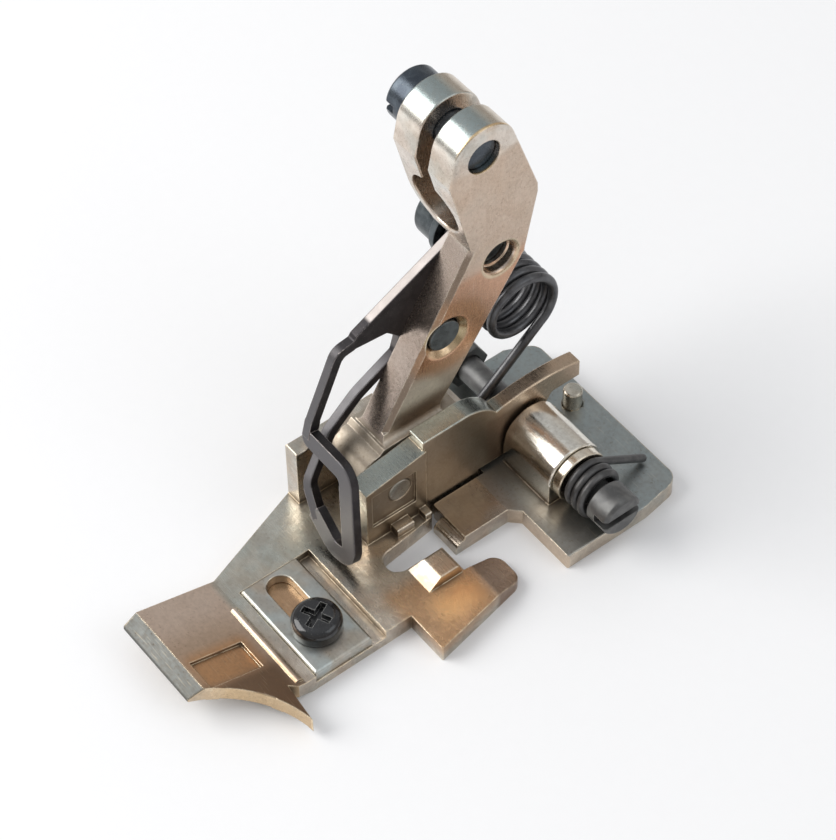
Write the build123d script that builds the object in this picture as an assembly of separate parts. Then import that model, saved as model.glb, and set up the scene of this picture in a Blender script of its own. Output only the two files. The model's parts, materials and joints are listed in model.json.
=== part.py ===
from build123d import *
import os
from math import acos, atan2, ceil, cos, degrees, hypot, radians, sin, tan

# Hinged presser foot of an overlock sewing machine, in millimetres.
# X runs to the operator's right, Y to the rear along the feed and Z up from the underside of the sole.
# The origin is on that underside, below the middle of the hinge pin.

# Front sole: sheet, toe, horn and finger
SOLE_T = 2.0
SOLE_RIGHT = 14.4
SOLE_REAR = 1.2
FLOOR_REAR = 9.5
FOLD_Y = -18.3
TOE_L = 10.3
TOE_RISE = 3.0
TOE_T = 1.8
TOE_LEFT = -0.4
TOE_W = 10.5
TOE_BEVEL = 1.6
TOE_EDGE = 0.4
HORN_REACH = 4.0
HORN_SWEEP = 2.2
HORN_ROOT = 1.7
HORN_BOW = 1.1
FINGER_FRONT = -6.0
FINGER_L = 11.3
FINGER_REACH = 4.8
FINGER_END = 2.6
FINGER_ROOT = 1.1
FINGER_CREASE = 2.05
FINGER_DROP = 0.8
CHANNEL_W = 3.5
CHANNEL_L = 6.0
CHANNEL_DEPTH = 0.4
CHANNEL_INSET = 9.4
BEAD_R = 0.45
BEAD_INSET = 4.0
BEAD_SETBACK = 0.5

# Front sole: needle slot and nub
SLOT_X = 8.5
SLOT_W = 2.8
SLOT_FLARE = 0.7
SLOT_FRONT = -4.4
STRIP_REAR = 2.8
NUB_W = 3.35
NUB_L = 4.0
NUB_TOP_W = 2.7
NUB_TOP_L = 2.1
NUB_H = 1.1
NUB_FRONT = -3.0
NUB_INSET = 0.1
NUB_BACK = 0.4
RIB_W = 1.4
RIB_L = 2.0
RIB_FRONT = -1.4
RIB_H = 1.0
LIP_L = 0.8
LIP_H = 0.7

# Front hinge between the sole and the shank
PIN_Z = 7.0
PIN_R = 1.3
BAY_W = 5.6
SIDE_PLAY = 0.2
POST_T = 1.8
POST_H = 9.5
POST_FRONT = -6.4
POST_L = 10.4
WALL_T = 2.2
WALL_H = 11.8
WALL_CREST = 7.4
BLOCK_FRONT = -4.2
BLOCK_L = 7.2
BLOCK_RISE = 1.3
BLOCK_STEP = 0.3
RECESS_L = 5.2
RECESS_H = 4.6
RECESS_INSET = 0.7

# Rear hinge lug at the end of the wall
HINGE_Y = 15.6
HINGE_Z = 5.0
HINGE_R = 1.4
LUG_T = 1.6
LUG_FRONT = 11.8
LUG_TOP = 9.75
LUG_ARCH = 0.6
LUG_GAP = 0.6
TAIL_T = 2.2
TAIL_INSET = 2.3

# Shank: arm and foot
ARM_T = 3.3
ARM_RIGHT = 1.7
ARM_LEAN = 29.5
ARM_TOP_W = 7.4
ARM_LOW_W = 6.0
ARM_TAPER = 0.84
ARM_CHAMFER = 0.45
SHOULDER_Y = 11.2
SHOULDER_Z = 30.0
NOTCH = 1.6
FOOT_R = 3.2
FOOT_TOP = 10.7
FOOT_HEEL = 10.2
FOOT_CORNER = 1.2
FOOT_STOP = 0.1
FOOT_FLARE = 0.8
TILT_MAX = 8.0
HEEL_RELIEF = 4.0

# Shank: split clamp for the presser bar
CLAMP_TILT = 15.7
CLAMP_W = 8.3
CLAMP_FRONT = 4.0
CLAMP_BACK = 4.35
CLAMP_AHEAD = 3.1
CLAMP_RISE = 4.9
CLAMP_SLOT = 1.8
CLAMP_R = 3.2
LOBE_R = 3.6
LOBE_RISE = 6.85
LOBE_AHEAD = 0.24
LOBE_CORNER = 32
WAIST_RISE = -2.0
WAIST_H = 1.0
CLAMP_SCREW_R = 1.75
CLAMP_HEAD_R = 2.85
CLAMP_HEAD_H = 2.7

# Screws of the finger guard
UPPER_DOWN = 1.0
UPPER_ACROSS = 4.6
LOWER_DOWN = 10.0
LOWER_ACROSS = 2.4
GUARD_SCREW_R = 1.75
UPPER_SINK = 0.35
LOWER_SINK = 0.8
UPPER_TURN = 70
UPPER_HEAD_R = 3.3
UPPER_HEAD_H = 2.9
UPPER_GRIP = 1.6
LOWER_HEAD_R = 2.6
LOWER_HEAD_H = 2.0
TIP_INSET = 0.35
WASHER_R = 3.7
WASHER_T = 0.8
HOLE_PLAY = 0.1
HEAD_SLOT = 1.0
HEAD_CHAMFER = 0.3

# Finger guard
GUARD_T = 1.0
STRAND_W = 1.1
LOOP_W = 1.9
LOOP_LEAN = 13.0
LOOP_Y = -5.2
LOOP_Z = 12.4
LOOP_TOP_RIGHT = 4.0
LOOP_LOW_RIGHT = 6.9
LOOP_LOW_LEFT = 4.4
LOOP_END = 0.9
LOOP_CLEARANCE = 0.55
LOOP_HOOK = 1.8
NECK = 2.0
TAB_DOWN = 11.4
TAB_REACH = 6.0
TAB_W = 1.7
WINDOW_REACH = 2.0
PLATE_LOW = 12.0
PLATE_END = 14.4
PLATE_LIP = 0.6
PLATE_RIM = 0.3
STRAND_BACK = 5.6
STRAND_TURN = 2.3
CROSS_X = -0.9
CROSS_DROP = 5.1
UPPER_BENDS = (1.2, 3.0)
LOOP_BENDS = (1.8, 1.1, 1.6)
LOWER_BENDS = (5.0, 2.0, 2.0)

# Tilt spring
WIRE_R = 0.5
WIRE_SIDES = 8
WIRE_STEP = 15
COIL_R = 3.6
COIL_TURNS = 4
COIL_PITCH = 1.08
COIL_Y = 19.0
COIL_Z = 15.4
EYE_R = 2.35
EYE_WRAP = 270
EYE_PLAY = 0.12
EYE_STRAIGHT = 4.2
LEG_OVERHANG = 1.2
LEG_PLAY = 0.05

# Guide slide and its screw
SLIDE_L = 12.0
SLIDE_W = 6.6
SLIDE_T = 1.2
SLIDE_FRONT = -17.1
SLIDE_PLAY = 0.05
POCKET_DEPTH = 0.9
POCKET_GAP = 1.5
POCKET_PLAY = 0.2
SLIDE_SLOT_W = 2.7
SLIDE_SLOT_L = 8.8
SLIDE_SLOT_END = 0.5
GUIDE_SCREW_INSET = 4.4
GUIDE_SCREW_R = 1.2
GUIDE_HEAD_R = 2.5
GUIDE_HEAD_H = 1.8
GUIDE_DOME = 1.0
GUIDE_TIP = 0.2
CROSS_L = 3.0
CROSS_W = 0.7
CROSS_DEPTH = 0.8
CROSS_TURN = 25

# Rear sole and the parts on its hinge
REAR_GAP = 0.5
REAR_LEFT = -5.8
REAR_RIGHT = 18.3
REAR_L = 14.5
REAR_TAPER_L = 5.0
REAR_TAPER = 0.8
REAR_CUT_L = 3.4
REAR_CUT = 1.6
REAR_CORNER = 1.5
TONGUE_W = 5.0
TONGUE_L = 6.3
TONGUE_FLARE = 1.0
NOSE_L = 1.1
NOSE_H = 1.5
NOSE_R = 1.0
NOSE_INSET = 1.5
BARREL_R = 3.15
BARREL_L = 7.0
BARREL_PLAY = 0.3
COLLAR_T = 1.1
COLLAR_R = 2.9
HINGE_HEAD_R = 2.3
HINGE_HEAD_H = 2.8
HINGE_SLOT_DEPTH = 1.7
NUT_ACROSS = 4.4
NUT_T = 2.4
NUT_LEFT = -6.6
NUT_THREAD = 0.5
PEG_R = 1.0
PEG_H = 2.2
PEG_X = 3.9
SMALL_WIRE_R = 0.42
SMALL_COIL_R = 2.3
SMALL_TURNS = 2.7
SMALL_GAP = 0.06
SMALL_LEG_Y = 23.2

# Fits
RUN_FIT = 0.04
SCREW_FIT = 0.03
SEAT_GAP = 0.05

# Places that follow from the driving dimensions
REACH = SHOULDER_Z + REAR_L
OVERCUT = SOLE_T / 2
REAR_FRONT = FLOOR_REAR + REAR_GAP
REAR_BACK = REAR_FRONT + REAR_L
LUG_REAR = REAR_BACK - TAIL_INSET
PEG_Y = LUG_REAR + PEG_R / 5
TOE_FRONT = FOLD_Y - TOE_L
TOE_SLOPE = TOE_RISE / TOE_L
SLOT_LEFT = SLOT_X - SLOT_W / 2
SLOT_RIGHT = SLOT_X + SLOT_W / 2
STRIP_RIGHT = SLOT_LEFT - SLOT_FLARE
BAY_HALF = BAY_W / 2
POST_LEFT = -BAY_HALF - POST_T
WALL_RIGHT = BAY_HALF + WALL_T
BLOCK_RIGHT = WALL_RIGHT + BLOCK_STEP
BLOCK_REAR = BLOCK_FRONT + BLOCK_L
FOOT_HALF = BAY_HALF - SIDE_PLAY
LUG_LEFT = WALL_RIGHT - LUG_T
LUG_BOTTOM = SOLE_T + LUG_GAP
ARM_LEFT = ARM_RIGHT - ARM_T
CLAMP_MID = ARM_RIGHT - CLAMP_W / 2
CLAMP_LEFT = ARM_RIGHT - CLAMP_W
GUARD_LEFT = ARM_LEFT - GUARD_T
GUARD_MID = ARM_LEFT - GUARD_T / 2
EYE_X = GUARD_LEFT - EYE_PLAY / 2 - WIRE_R
WASHER_RIGHT = GUARD_LEFT - EYE_PLAY - 2 * WIRE_R
WASHER_LEFT = WASHER_RIGHT - WASHER_T
POCKET_FLOOR = SOLE_T - POCKET_DEPTH
POCKET_LEFT = SOLE_RIGHT - SLIDE_L - POCKET_PLAY
GUIDE_SCREW_X = SOLE_RIGHT - GUIDE_SCREW_INSET
GUIDE_SCREW_Y = SLIDE_FRONT + SLIDE_W / 2
BARREL_LEFT = WALL_RIGHT + BARREL_PLAY
BARREL_RIGHT = BARREL_LEFT + BARREL_L
COLLAR_RIGHT = BARREL_RIGHT + COLLAR_T
SMALL_PITCH = 2 * SMALL_WIRE_R + SMALL_GAP
SMALL_LEFT = COLLAR_RIGHT + SEAT_GAP + SMALL_WIRE_R
HINGE_HEAD_X = SMALL_LEFT + SMALL_TURNS * SMALL_PITCH + SMALL_WIRE_R + SEAT_GAP


def polygon(*points):
    """A flat face with straight edges through the points."""
    return make_face(Polyline(*points, close=True))


def prism_x(profile, x_left, x_right):
    """A prism along X of a profile drawn in Y and Z."""
    return extrude(Plane.YZ.offset(x_left) * profile, amount=x_right - x_left)


def prism_z(outline, z_low, z_high):
    """A prism along Z of an outline drawn in X and Y."""
    return extrude(Plane.XY.offset(z_low) * outline, amount=z_high - z_low)


def block(x_span, y_span, z_span):
    """A box given by its limits along each axis."""
    corner, size = zip(*((low, high - low) for low, high in (x_span, y_span, z_span)))
    return Pos(*corner) * Box(*size, align=(Align.MIN, Align.MIN, Align.MIN))


def rod_x(radius, x_left, x_right, y, z):
    """A round rod along X."""
    rod = Cylinder(radius, x_right - x_left, align=(Align.CENTER, Align.CENTER, Align.MIN))
    return Pos(x_left, y, z) * Rot(0, 90, 0) * rod


def cone_x(radius_left, radius_right, x_left, x_right, y, z):
    """A round cone along X."""
    cone = Cone(radius_left, radius_right, x_right - x_left, align=(Align.CENTER, Align.CENTER, Align.MIN))
    return Pos(x_left, y, z) * Rot(0, 90, 0) * cone


def toe_top(y):
    """Height of the sole's upper side at a place along the feed."""
    return SOLE_T + max(0.0, FOLD_Y - y) * TOE_SLOPE


def arm_point(down, across):
    """A point in Y and Z, down the arm's front edge from the shoulder and across the arm."""
    lean = radians(ARM_LEAN)
    y = SHOULDER_Y - down * sin(lean) + across * cos(lean)
    z = SHOULDER_Z - down * cos(lean) - across * sin(lean)
    return y, z


def clamp_point(along, rise):
    """A point in Y and Z, along the clamp's bore from its middle and above the bore's axis."""
    tilt = radians(CLAMP_TILT)
    y = SHOULDER_Y + CLAMP_AHEAD + along * cos(tilt) - rise * sin(tilt)
    z = SHOULDER_Z + CLAMP_RISE + along * sin(tilt) + rise * cos(tilt)
    return y, z


UPPER_HOLE = arm_point(UPPER_DOWN, UPPER_ACROSS)
LOWER_HOLE = arm_point(LOWER_DOWN, LOWER_ACROSS)
LOBE = clamp_point(LOBE_AHEAD, LOBE_RISE)


def sole_outline():
    """Plan view of the front sole: toe with its horn, body, finger, channel floor and needle slot."""
    toe_corner = (TOE_LEFT + TOE_W, TOE_FRONT)
    horn_tip = (SOLE_RIGHT + HORN_REACH, FOLD_Y - HORN_SWEEP)
    horn_bow = (SOLE_RIGHT - HORN_BOW, (TOE_FRONT + FOLD_Y + HORN_BOW) / 2)
    edge = ThreePointArc(toe_corner, horn_bow, horn_tip)
    rest = Polyline(
        horn_tip,
        (SOLE_RIGHT - HORN_BOW / 2, FOLD_Y - HORN_ROOT),
        (SOLE_RIGHT, FOLD_Y - HORN_ROOT / 2),
        (SOLE_RIGHT, SOLE_REAR),
        (SLOT_X, SOLE_REAR),
        (SLOT_X, STRIP_REAR),
        (WALL_RIGHT, STRIP_REAR),
        (WALL_RIGHT, FLOOR_REAR),
        (POST_LEFT, FLOOR_REAR),
        (POST_LEFT, POST_FRONT),
        (TOE_LEFT, FOLD_Y),
        (TOE_LEFT, TOE_FRONT),
        toe_corner,
    )
    finger_end = FINGER_FRONT + FINGER_L
    finger = polygon(
        (SOLE_RIGHT - FINGER_END, FINGER_FRONT),
        (SOLE_RIGHT + FINGER_REACH, FINGER_FRONT),
        (SOLE_RIGHT + FINGER_END, finger_end),
        (SOLE_RIGHT - FINGER_ROOT, finger_end),
        (SOLE_RIGHT - FINGER_ROOT, SOLE_REAR),
    )
    finger = fillet(finger.vertices().group_by(Axis.Y)[-1], FINGER_END / 2)
    slot_y = SLOT_FRONT + SLOT_W / 2
    slot = polygon((SLOT_LEFT, slot_y), (SLOT_RIGHT, slot_y), (SLOT_RIGHT, STRIP_REAR), (STRIP_RIGHT, STRIP_REAR))
    slot += Pos(SLOT_X, slot_y) * Circle(SLOT_W / 2)
    return make_face(edge + rest) + finger - slot


def bent_sheet():
    """The sole's sheet seen from the side, with its toe bent up and bevelled."""
    bevel_top = TOE_FRONT + TOE_BEVEL
    front_low = toe_top(TOE_FRONT) - TOE_T
    profile = polygon(
        (FLOOR_REAR, 0),
        (FLOOR_REAR, SOLE_T),
        (FOLD_Y, SOLE_T),
        (bevel_top, toe_top(bevel_top)),
        (TOE_FRONT, front_low + TOE_EDGE),
        (TOE_FRONT, front_low),
        (FOLD_Y + TOE_EDGE, 0),
    )
    return prism_x(profile, -REACH, REACH)


def hinge_wall():
    """The wall right of the shank: front block, crest and the lug that carries the rear hinge."""
    front = polygon(
        (BLOCK_FRONT, 0),
        (BLOCK_FRONT, POST_H),
        (BLOCK_REAR, POST_H + BLOCK_RISE),
        (BLOCK_REAR, 0),
    )
    crest_end = (LUG_FRONT, LUG_TOP)
    crest_bow = ((WALL_CREST + 2 * LUG_FRONT) / 3, WALL_H - (WALL_H - LUG_TOP) / 3)
    crest = make_face(
        ThreePointArc((WALL_CREST, WALL_H), crest_bow, crest_end)
        + Polyline(
            crest_end,
            (LUG_FRONT, LUG_BOTTOM),
            (FLOOR_REAR, LUG_BOTTOM),
            (FLOOR_REAR, 0),
            (STRIP_REAR, 0),
            (STRIP_REAR, WALL_H),
            (WALL_CREST, WALL_H),
        )
    )
    tail_top = (LUG_REAR, LUG_TOP)
    tail_low = LUG_TOP - TAIL_T
    lug = make_face(
        ThreePointArc(crest_end, ((LUG_FRONT + LUG_REAR) / 2, LUG_TOP + LUG_ARCH), tail_top)
        + Polyline(
            tail_top,
            (LUG_REAR, tail_low),
            (HINGE_Y + BARREL_R, tail_low),
            (HINGE_Y, LUG_BOTTOM),
            (FLOOR_REAR, LUG_BOTTOM),
            (FLOOR_REAR, LUG_TOP),
            crest_end,
        )
    )
    lug += Pos(HINGE_Y, HINGE_Z) * Circle(HINGE_Z - LUG_BOTTOM)
    wall = prism_x(front, BAY_HALF, BLOCK_RIGHT) + prism_x(crest, BAY_HALF, WALL_RIGHT)
    wall += prism_x(lug, LUG_LEFT, WALL_RIGHT)
    recess_rear = BLOCK_FRONT + RECESS_INSET + RECESS_L
    recess_top = POST_H - RECESS_INSET
    return wall - block(
        (WALL_RIGHT, REACH),
        (BLOCK_FRONT + RECESS_INSET, recess_rear),
        (recess_top - RECESS_H, recess_top),
    )


def finger_slope():
    """The wedge taken off the finger's tip, which falls away behind a crease."""
    fall = FINGER_DROP / (FINGER_FRONT + FINGER_L - FINGER_CREASE)
    wedge = polygon((FINGER_CREASE, SOLE_T), (REACH, SOLE_T - fall * (REACH - FINGER_CREASE)), (REACH, SOLE_T))
    return prism_x(wedge, SLOT_RIGHT, REACH)


def needle_nub():
    """The sloped nub beside the needle slot, with the two low ribs across the slot from it."""
    right = SLOT_RIGHT + NUB_INSET + NUB_W
    rear = NUB_FRONT + NUB_L
    corner = (Align.MAX, Align.MAX)
    foot = Pos(right, rear, SOLE_T) * Rectangle(NUB_W, NUB_L, align=corner)
    top = Pos(right - NUB_INSET, rear - NUB_BACK, SOLE_T + NUB_H) * Rectangle(NUB_TOP_W, NUB_TOP_L, align=corner)
    rib = block((WALL_RIGHT, WALL_RIGHT + RIB_W), (RIB_FRONT, RIB_FRONT + RIB_L), (SOLE_T, SOLE_T + RIB_H))
    lip = block((WALL_RIGHT, STRIP_RIGHT), (STRIP_REAR - LIP_L, STRIP_REAR), (SOLE_T, SOLE_T + LIP_H))
    return loft([foot, top]) + rib + lip


def front_sole():
    """The front sole as one casting: sheet, post, hinge wall, needle nub and guide pocket."""
    body = prism_z(sole_outline(), -SOLE_T, REACH) & bent_sheet()
    body += block((POST_LEFT, -BAY_HALF), (POST_FRONT, POST_FRONT + POST_L), (0, POST_H))
    body -= finger_slope()
    body += hinge_wall() + needle_nub()
    bead_y = FOLD_Y - BEAD_SETBACK
    body += rod_x(BEAD_R, TOE_LEFT + BEAD_INSET, SOLE_RIGHT - BEAD_R, bead_y, toe_top(bead_y) - BEAD_R / 4)
    pocket_span = (SLIDE_FRONT - SLIDE_PLAY, SLIDE_FRONT + SLIDE_W + POCKET_GAP)
    body -= block((POCKET_LEFT, SOLE_RIGHT + OVERCUT), pocket_span, (POCKET_FLOOR, REACH))
    channel_y = (FOLD_Y + TOE_FRONT) / 2
    channel = Pos(TOE_LEFT + CHANNEL_INSET, channel_y, toe_top(channel_y))
    channel *= Rot(-degrees(atan2(TOE_RISE, TOE_L)), 0, 0)
    body -= channel * Box(CHANNEL_W, CHANNEL_L, 2 * CHANNEL_DEPTH)
    body -= rod_x(PIN_R, POST_LEFT - OVERCUT, BLOCK_RIGHT + OVERCUT, 0, PIN_Z)
    body -= rod_x(HINGE_R + SCREW_FIT, LUG_LEFT - OVERCUT, WALL_RIGHT + OVERCUT, HINGE_Y, HINGE_Z)
    return body - Pos(GUIDE_SCREW_X, GUIDE_SCREW_Y) * Cylinder(GUIDE_SCREW_R + SCREW_FIT, REACH)


def hinge_pin():
    """The pin on which the front sole tilts under the shank."""
    return rod_x(PIN_R, POST_LEFT, WALL_RIGHT, 0, PIN_Z)


def guide_slide():
    """The guide slide: a thin plate with one long slot across the feed."""
    left = POCKET_LEFT + SLIDE_PLAY
    plate = block(
        (left, left + SLIDE_L),
        (SLIDE_FRONT, SLIDE_FRONT + SLIDE_W),
        (POCKET_FLOOR, POCKET_FLOOR + SLIDE_T),
    )
    plate = chamfer(plate.edges().group_by(Axis.Z)[-1], SLIDE_T / 6)
    slot_right = GUIDE_SCREW_X + GUIDE_SCREW_R + SLIDE_SLOT_END
    slot = Pos(slot_right - SLIDE_SLOT_L / 2, GUIDE_SCREW_Y) * SlotOverall(SLIDE_SLOT_L, SLIDE_SLOT_W)
    return plate - prism_z(slot, 0, REACH)


def guide_screw():
    """The pan-head screw that holds the guide slide, with a cross recess."""
    seat = POCKET_FLOOR + SLIDE_T + RUN_FIT
    head = Cylinder(GUIDE_HEAD_R, GUIDE_HEAD_H, align=(Align.CENTER, Align.CENTER, Align.MIN))
    head = fillet(head.edges().group_by(Axis.Z)[-1], GUIDE_DOME)
    cross = Box(CROSS_L, CROSS_W, 2 * CROSS_DEPTH) + Box(CROSS_W, CROSS_L, 2 * CROSS_DEPTH)
    head -= Pos(0, 0, GUIDE_HEAD_H) * Rot(0, 0, CROSS_TURN) * cross
    shank = Cylinder(GUIDE_SCREW_R, seat - GUIDE_TIP, align=(Align.CENTER, Align.CENTER, Align.MAX))
    return Pos(GUIDE_SCREW_X, GUIDE_SCREW_Y, seat) * (head + shank)


def arm_profile():
    """Side view of the arm from the clamp down into the foot."""
    lean = radians(ARM_LEAN)
    length = (SHOULDER_Z - FOOT_TOP) / cos(lean)
    buried = (SHOULDER_Z - PIN_Z) / cos(lean)
    return polygon(
        arm_point(0, 0),
        arm_point(buried, 0),
        (FOOT_HEEL - NOTCH, PIN_Z),
        (FOOT_HEEL - NOTCH / 2, FOOT_TOP - NOTCH),
        arm_point(ARM_TAPER * length, ARM_LOW_W),
        arm_point(0, ARM_TOP_W),
        clamp_point(0, -CLAMP_R - WAIST_H),
    )


def arm_bar():
    """The arm: a leaning bar with its front right edge broken and flared sides above the foot."""
    bar = prism_x(arm_profile(), ARM_LEFT, ARM_RIGHT)
    edge = bar.edges().sort_by_distance((ARM_RIGHT, *arm_point(LOWER_DOWN, 0)))[0]
    middle = (ARM_LEFT + ARM_RIGHT) / 2
    flare = Pos(middle, FOOT_TOP) * Rectangle(ARM_T + 2 * FOOT_FLARE, 2 * FOOT_FLARE)
    for side in (ARM_LEFT - FOOT_FLARE, ARM_RIGHT + FOOT_FLARE):
        flare -= Pos(side, FOOT_TOP + FOOT_FLARE) * Circle(FOOT_FLARE)
    flare = extrude(Plane.XZ * flare, amount=REACH, both=True)
    return chamfer(edge, ARM_CHAMFER) + (prism_x(arm_profile(), -FOOT_HALF, FOOT_HALF) & flare)


def arm_foot():
    """The foot of the shank: a boss about the pin and a heel that lifts to the rear."""
    stop = SOLE_T + FOOT_STOP
    heel = stop + FOOT_HEEL * tan(radians(TILT_MAX + HEEL_RELIEF))
    profile = polygon(
        (-FOOT_R / 2, stop),
        (0, stop),
        (FOOT_HEEL, heel),
        (FOOT_HEEL, FOOT_TOP - FOOT_CORNER),
        (FOOT_HEEL - FOOT_CORNER, FOOT_TOP),
        (0, FOOT_TOP),
        (-FOOT_R, PIN_Z),
    )
    return prism_x(profile + Pos(0, PIN_Z) * Circle(FOOT_R), -FOOT_HALF, FOOT_HALF)


def clamp_body():
    """The clamp before its cuts: lobes rounded about the screw, waist and a round left side."""
    turn = radians(LOBE_CORNER)
    side = polygon(
        arm_point(0, 0),
        clamp_point(-CLAMP_FRONT, LOBE_RISE - LOBE_R / 8),
        clamp_point(LOBE_AHEAD - LOBE_R * cos(turn), LOBE_RISE + LOBE_R * sin(turn)),
        clamp_point(LOBE_AHEAD + LOBE_R, LOBE_RISE),
        clamp_point(CLAMP_BACK, WAIST_RISE),
        clamp_point(CLAMP_BACK - WAIST_H / 4, WAIST_RISE - WAIST_H),
        arm_point(0, ARM_TOP_W),
    )
    side += Pos(*LOBE) * Circle(LOBE_R)
    half = CLAMP_W / 2
    section = Circle(half) + Pos(0, REACH / 2) * Rectangle(CLAMP_W, REACH)
    section += Pos(half - ARM_T / 2, -REACH / 2) * Rectangle(ARM_T, REACH)
    return prism_x(side, CLAMP_LEFT, ARM_RIGHT) & extrude(clamp_frame() * section, amount=REACH, both=True)


def clamp_frame():
    """Plane across the clamp's bore, with its X axis to the right and its Y axis up the slot."""
    tilt = radians(CLAMP_TILT)
    return Plane((CLAMP_MID, *clamp_point(0, 0)), x_dir=(1, 0, 0), z_dir=(0, -cos(tilt), -sin(tilt)))


def shank_arm():
    """The shank as one piece: split clamp, leaning arm and hinged foot."""
    body = arm_bar() + arm_foot() + clamp_body()
    frame = clamp_frame()
    body -= extrude(frame * Circle(CLAMP_R), amount=REACH, both=True)
    body -= extrude(frame * Pos(0, REACH / 2) * Rectangle(CLAMP_SLOT, REACH), amount=REACH, both=True)
    body -= rod_x(CLAMP_SCREW_R + SCREW_FIT, CLAMP_LEFT - OVERCUT, ARM_RIGHT + OVERCUT, *LOBE)
    body -= rod_x(PIN_R + RUN_FIT, -FOOT_HALF - OVERCUT, FOOT_HALF + OVERCUT, 0, PIN_Z)
    for hole, sink in ((UPPER_HOLE, UPPER_SINK), (LOWER_HOLE, LOWER_SINK)):
        body -= rod_x(GUARD_SCREW_R + SCREW_FIT, ARM_LEFT - OVERCUT, ARM_RIGHT + OVERCUT, *hole)
        body -= cone_x(GUARD_SCREW_R, GUARD_SCREW_R + sink, ARM_RIGHT - sink, ARM_RIGHT, *hole)
    return body


def slotted_screw(head_radius, head_height, shank_radius, shank_length):
    """A cheese-head screw along X: head to the left of the origin, shank to its right."""
    head = rod_x(head_radius, -head_height, 0, 0, 0)
    head = chamfer(head.edges().group_by(Axis.X)[0], HEAD_CHAMFER)
    half = HEAD_SLOT / 2
    head -= block((-REACH, -head_height / 2), (-REACH, REACH), (-half, half))
    return head + rod_x(shank_radius, 0, shank_length, 0, 0)


def clamp_screw():
    """The slotted screw that draws the clamp's lobes together."""
    length = CLAMP_W - 2 * TIP_INSET
    return Pos(CLAMP_LEFT, *LOBE) * slotted_screw(CLAMP_HEAD_R, CLAMP_HEAD_H, CLAMP_SCREW_R, length)


def guard_screw_upper():
    """The upper guard screw, which also holds the tilt spring's eye."""
    length = ARM_LEFT - WASHER_LEFT + UPPER_GRIP
    screw = slotted_screw(UPPER_HEAD_R, UPPER_HEAD_H, GUARD_SCREW_R, length)
    return Pos(WASHER_LEFT, *UPPER_HOLE) * Rot(UPPER_TURN, 0, 0) * screw


def guard_screw_lower():
    """The lower guard screw, whose tip shows in the arm's right face."""
    length = ARM_RIGHT - GUARD_LEFT - TIP_INSET
    return Pos(GUARD_LEFT, *LOWER_HOLE) * slotted_screw(LOWER_HEAD_R, LOWER_HEAD_H, GUARD_SCREW_R, length)


def guard_washer():
    """The washer between the upper guard screw's head and the spring's eye."""
    ring = rod_x(WASHER_R, WASHER_LEFT, WASHER_RIGHT, *UPPER_HOLE)
    return ring - rod_x(GUARD_SCREW_R + HOLE_PLAY, WASHER_LEFT - OVERCUT, WASHER_RIGHT + OVERCUT, *UPPER_HOLE)


def guard_plate():
    """The flat of the finger guard against the arm, with the holes of its two screws."""
    flat = polygon(
        arm_point(UPPER_DOWN - 0.6 * UPPER_HEAD_R, UPPER_ACROSS - 0.8 * UPPER_HEAD_R),
        arm_point(TAB_DOWN, -TAB_REACH),
        arm_point(TAB_DOWN + TAB_W, -TAB_REACH),
        arm_point(TAB_DOWN, -WINDOW_REACH),
        arm_point(PLATE_LOW, 0),
        arm_point(PLATE_END, PLATE_LIP),
        arm_point(LOWER_DOWN, LOWER_ACROSS + LOWER_HEAD_R + PLATE_RIM),
        arm_point(UPPER_DOWN, UPPER_ACROSS + UPPER_HEAD_R),
    )
    flat += Pos(*UPPER_HOLE) * Circle(UPPER_HEAD_R)
    flat += Pos(*LOWER_HOLE) * Circle(LOWER_HEAD_R + PLATE_RIM)
    for hole in (UPPER_HOLE, LOWER_HOLE):
        flat -= Pos(*hole) * Circle(GUARD_SCREW_R + HOLE_PLAY)
    return prism_x(flat, GUARD_LEFT, ARM_LEFT)


def strip(points, bends, width, thick_dir):
    """A strip of the guard's sheet along a bent line, with its thickness along a direction at the start."""
    path = FilletPolyline(*points, radius=bends)
    section = Plane(origin=path @ 0, x_dir=thick_dir, z_dir=path % 0) * Rectangle(GUARD_T, width)
    return sweep(section, path=path)


def loop_point(x, climb):
    """A point in the middle of the guard's loop, climbing up its leaning plane."""
    lean = radians(LOOP_LEAN)
    return x, LOOP_Y + climb * sin(lean), LOOP_Z + climb * cos(lean)


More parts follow.
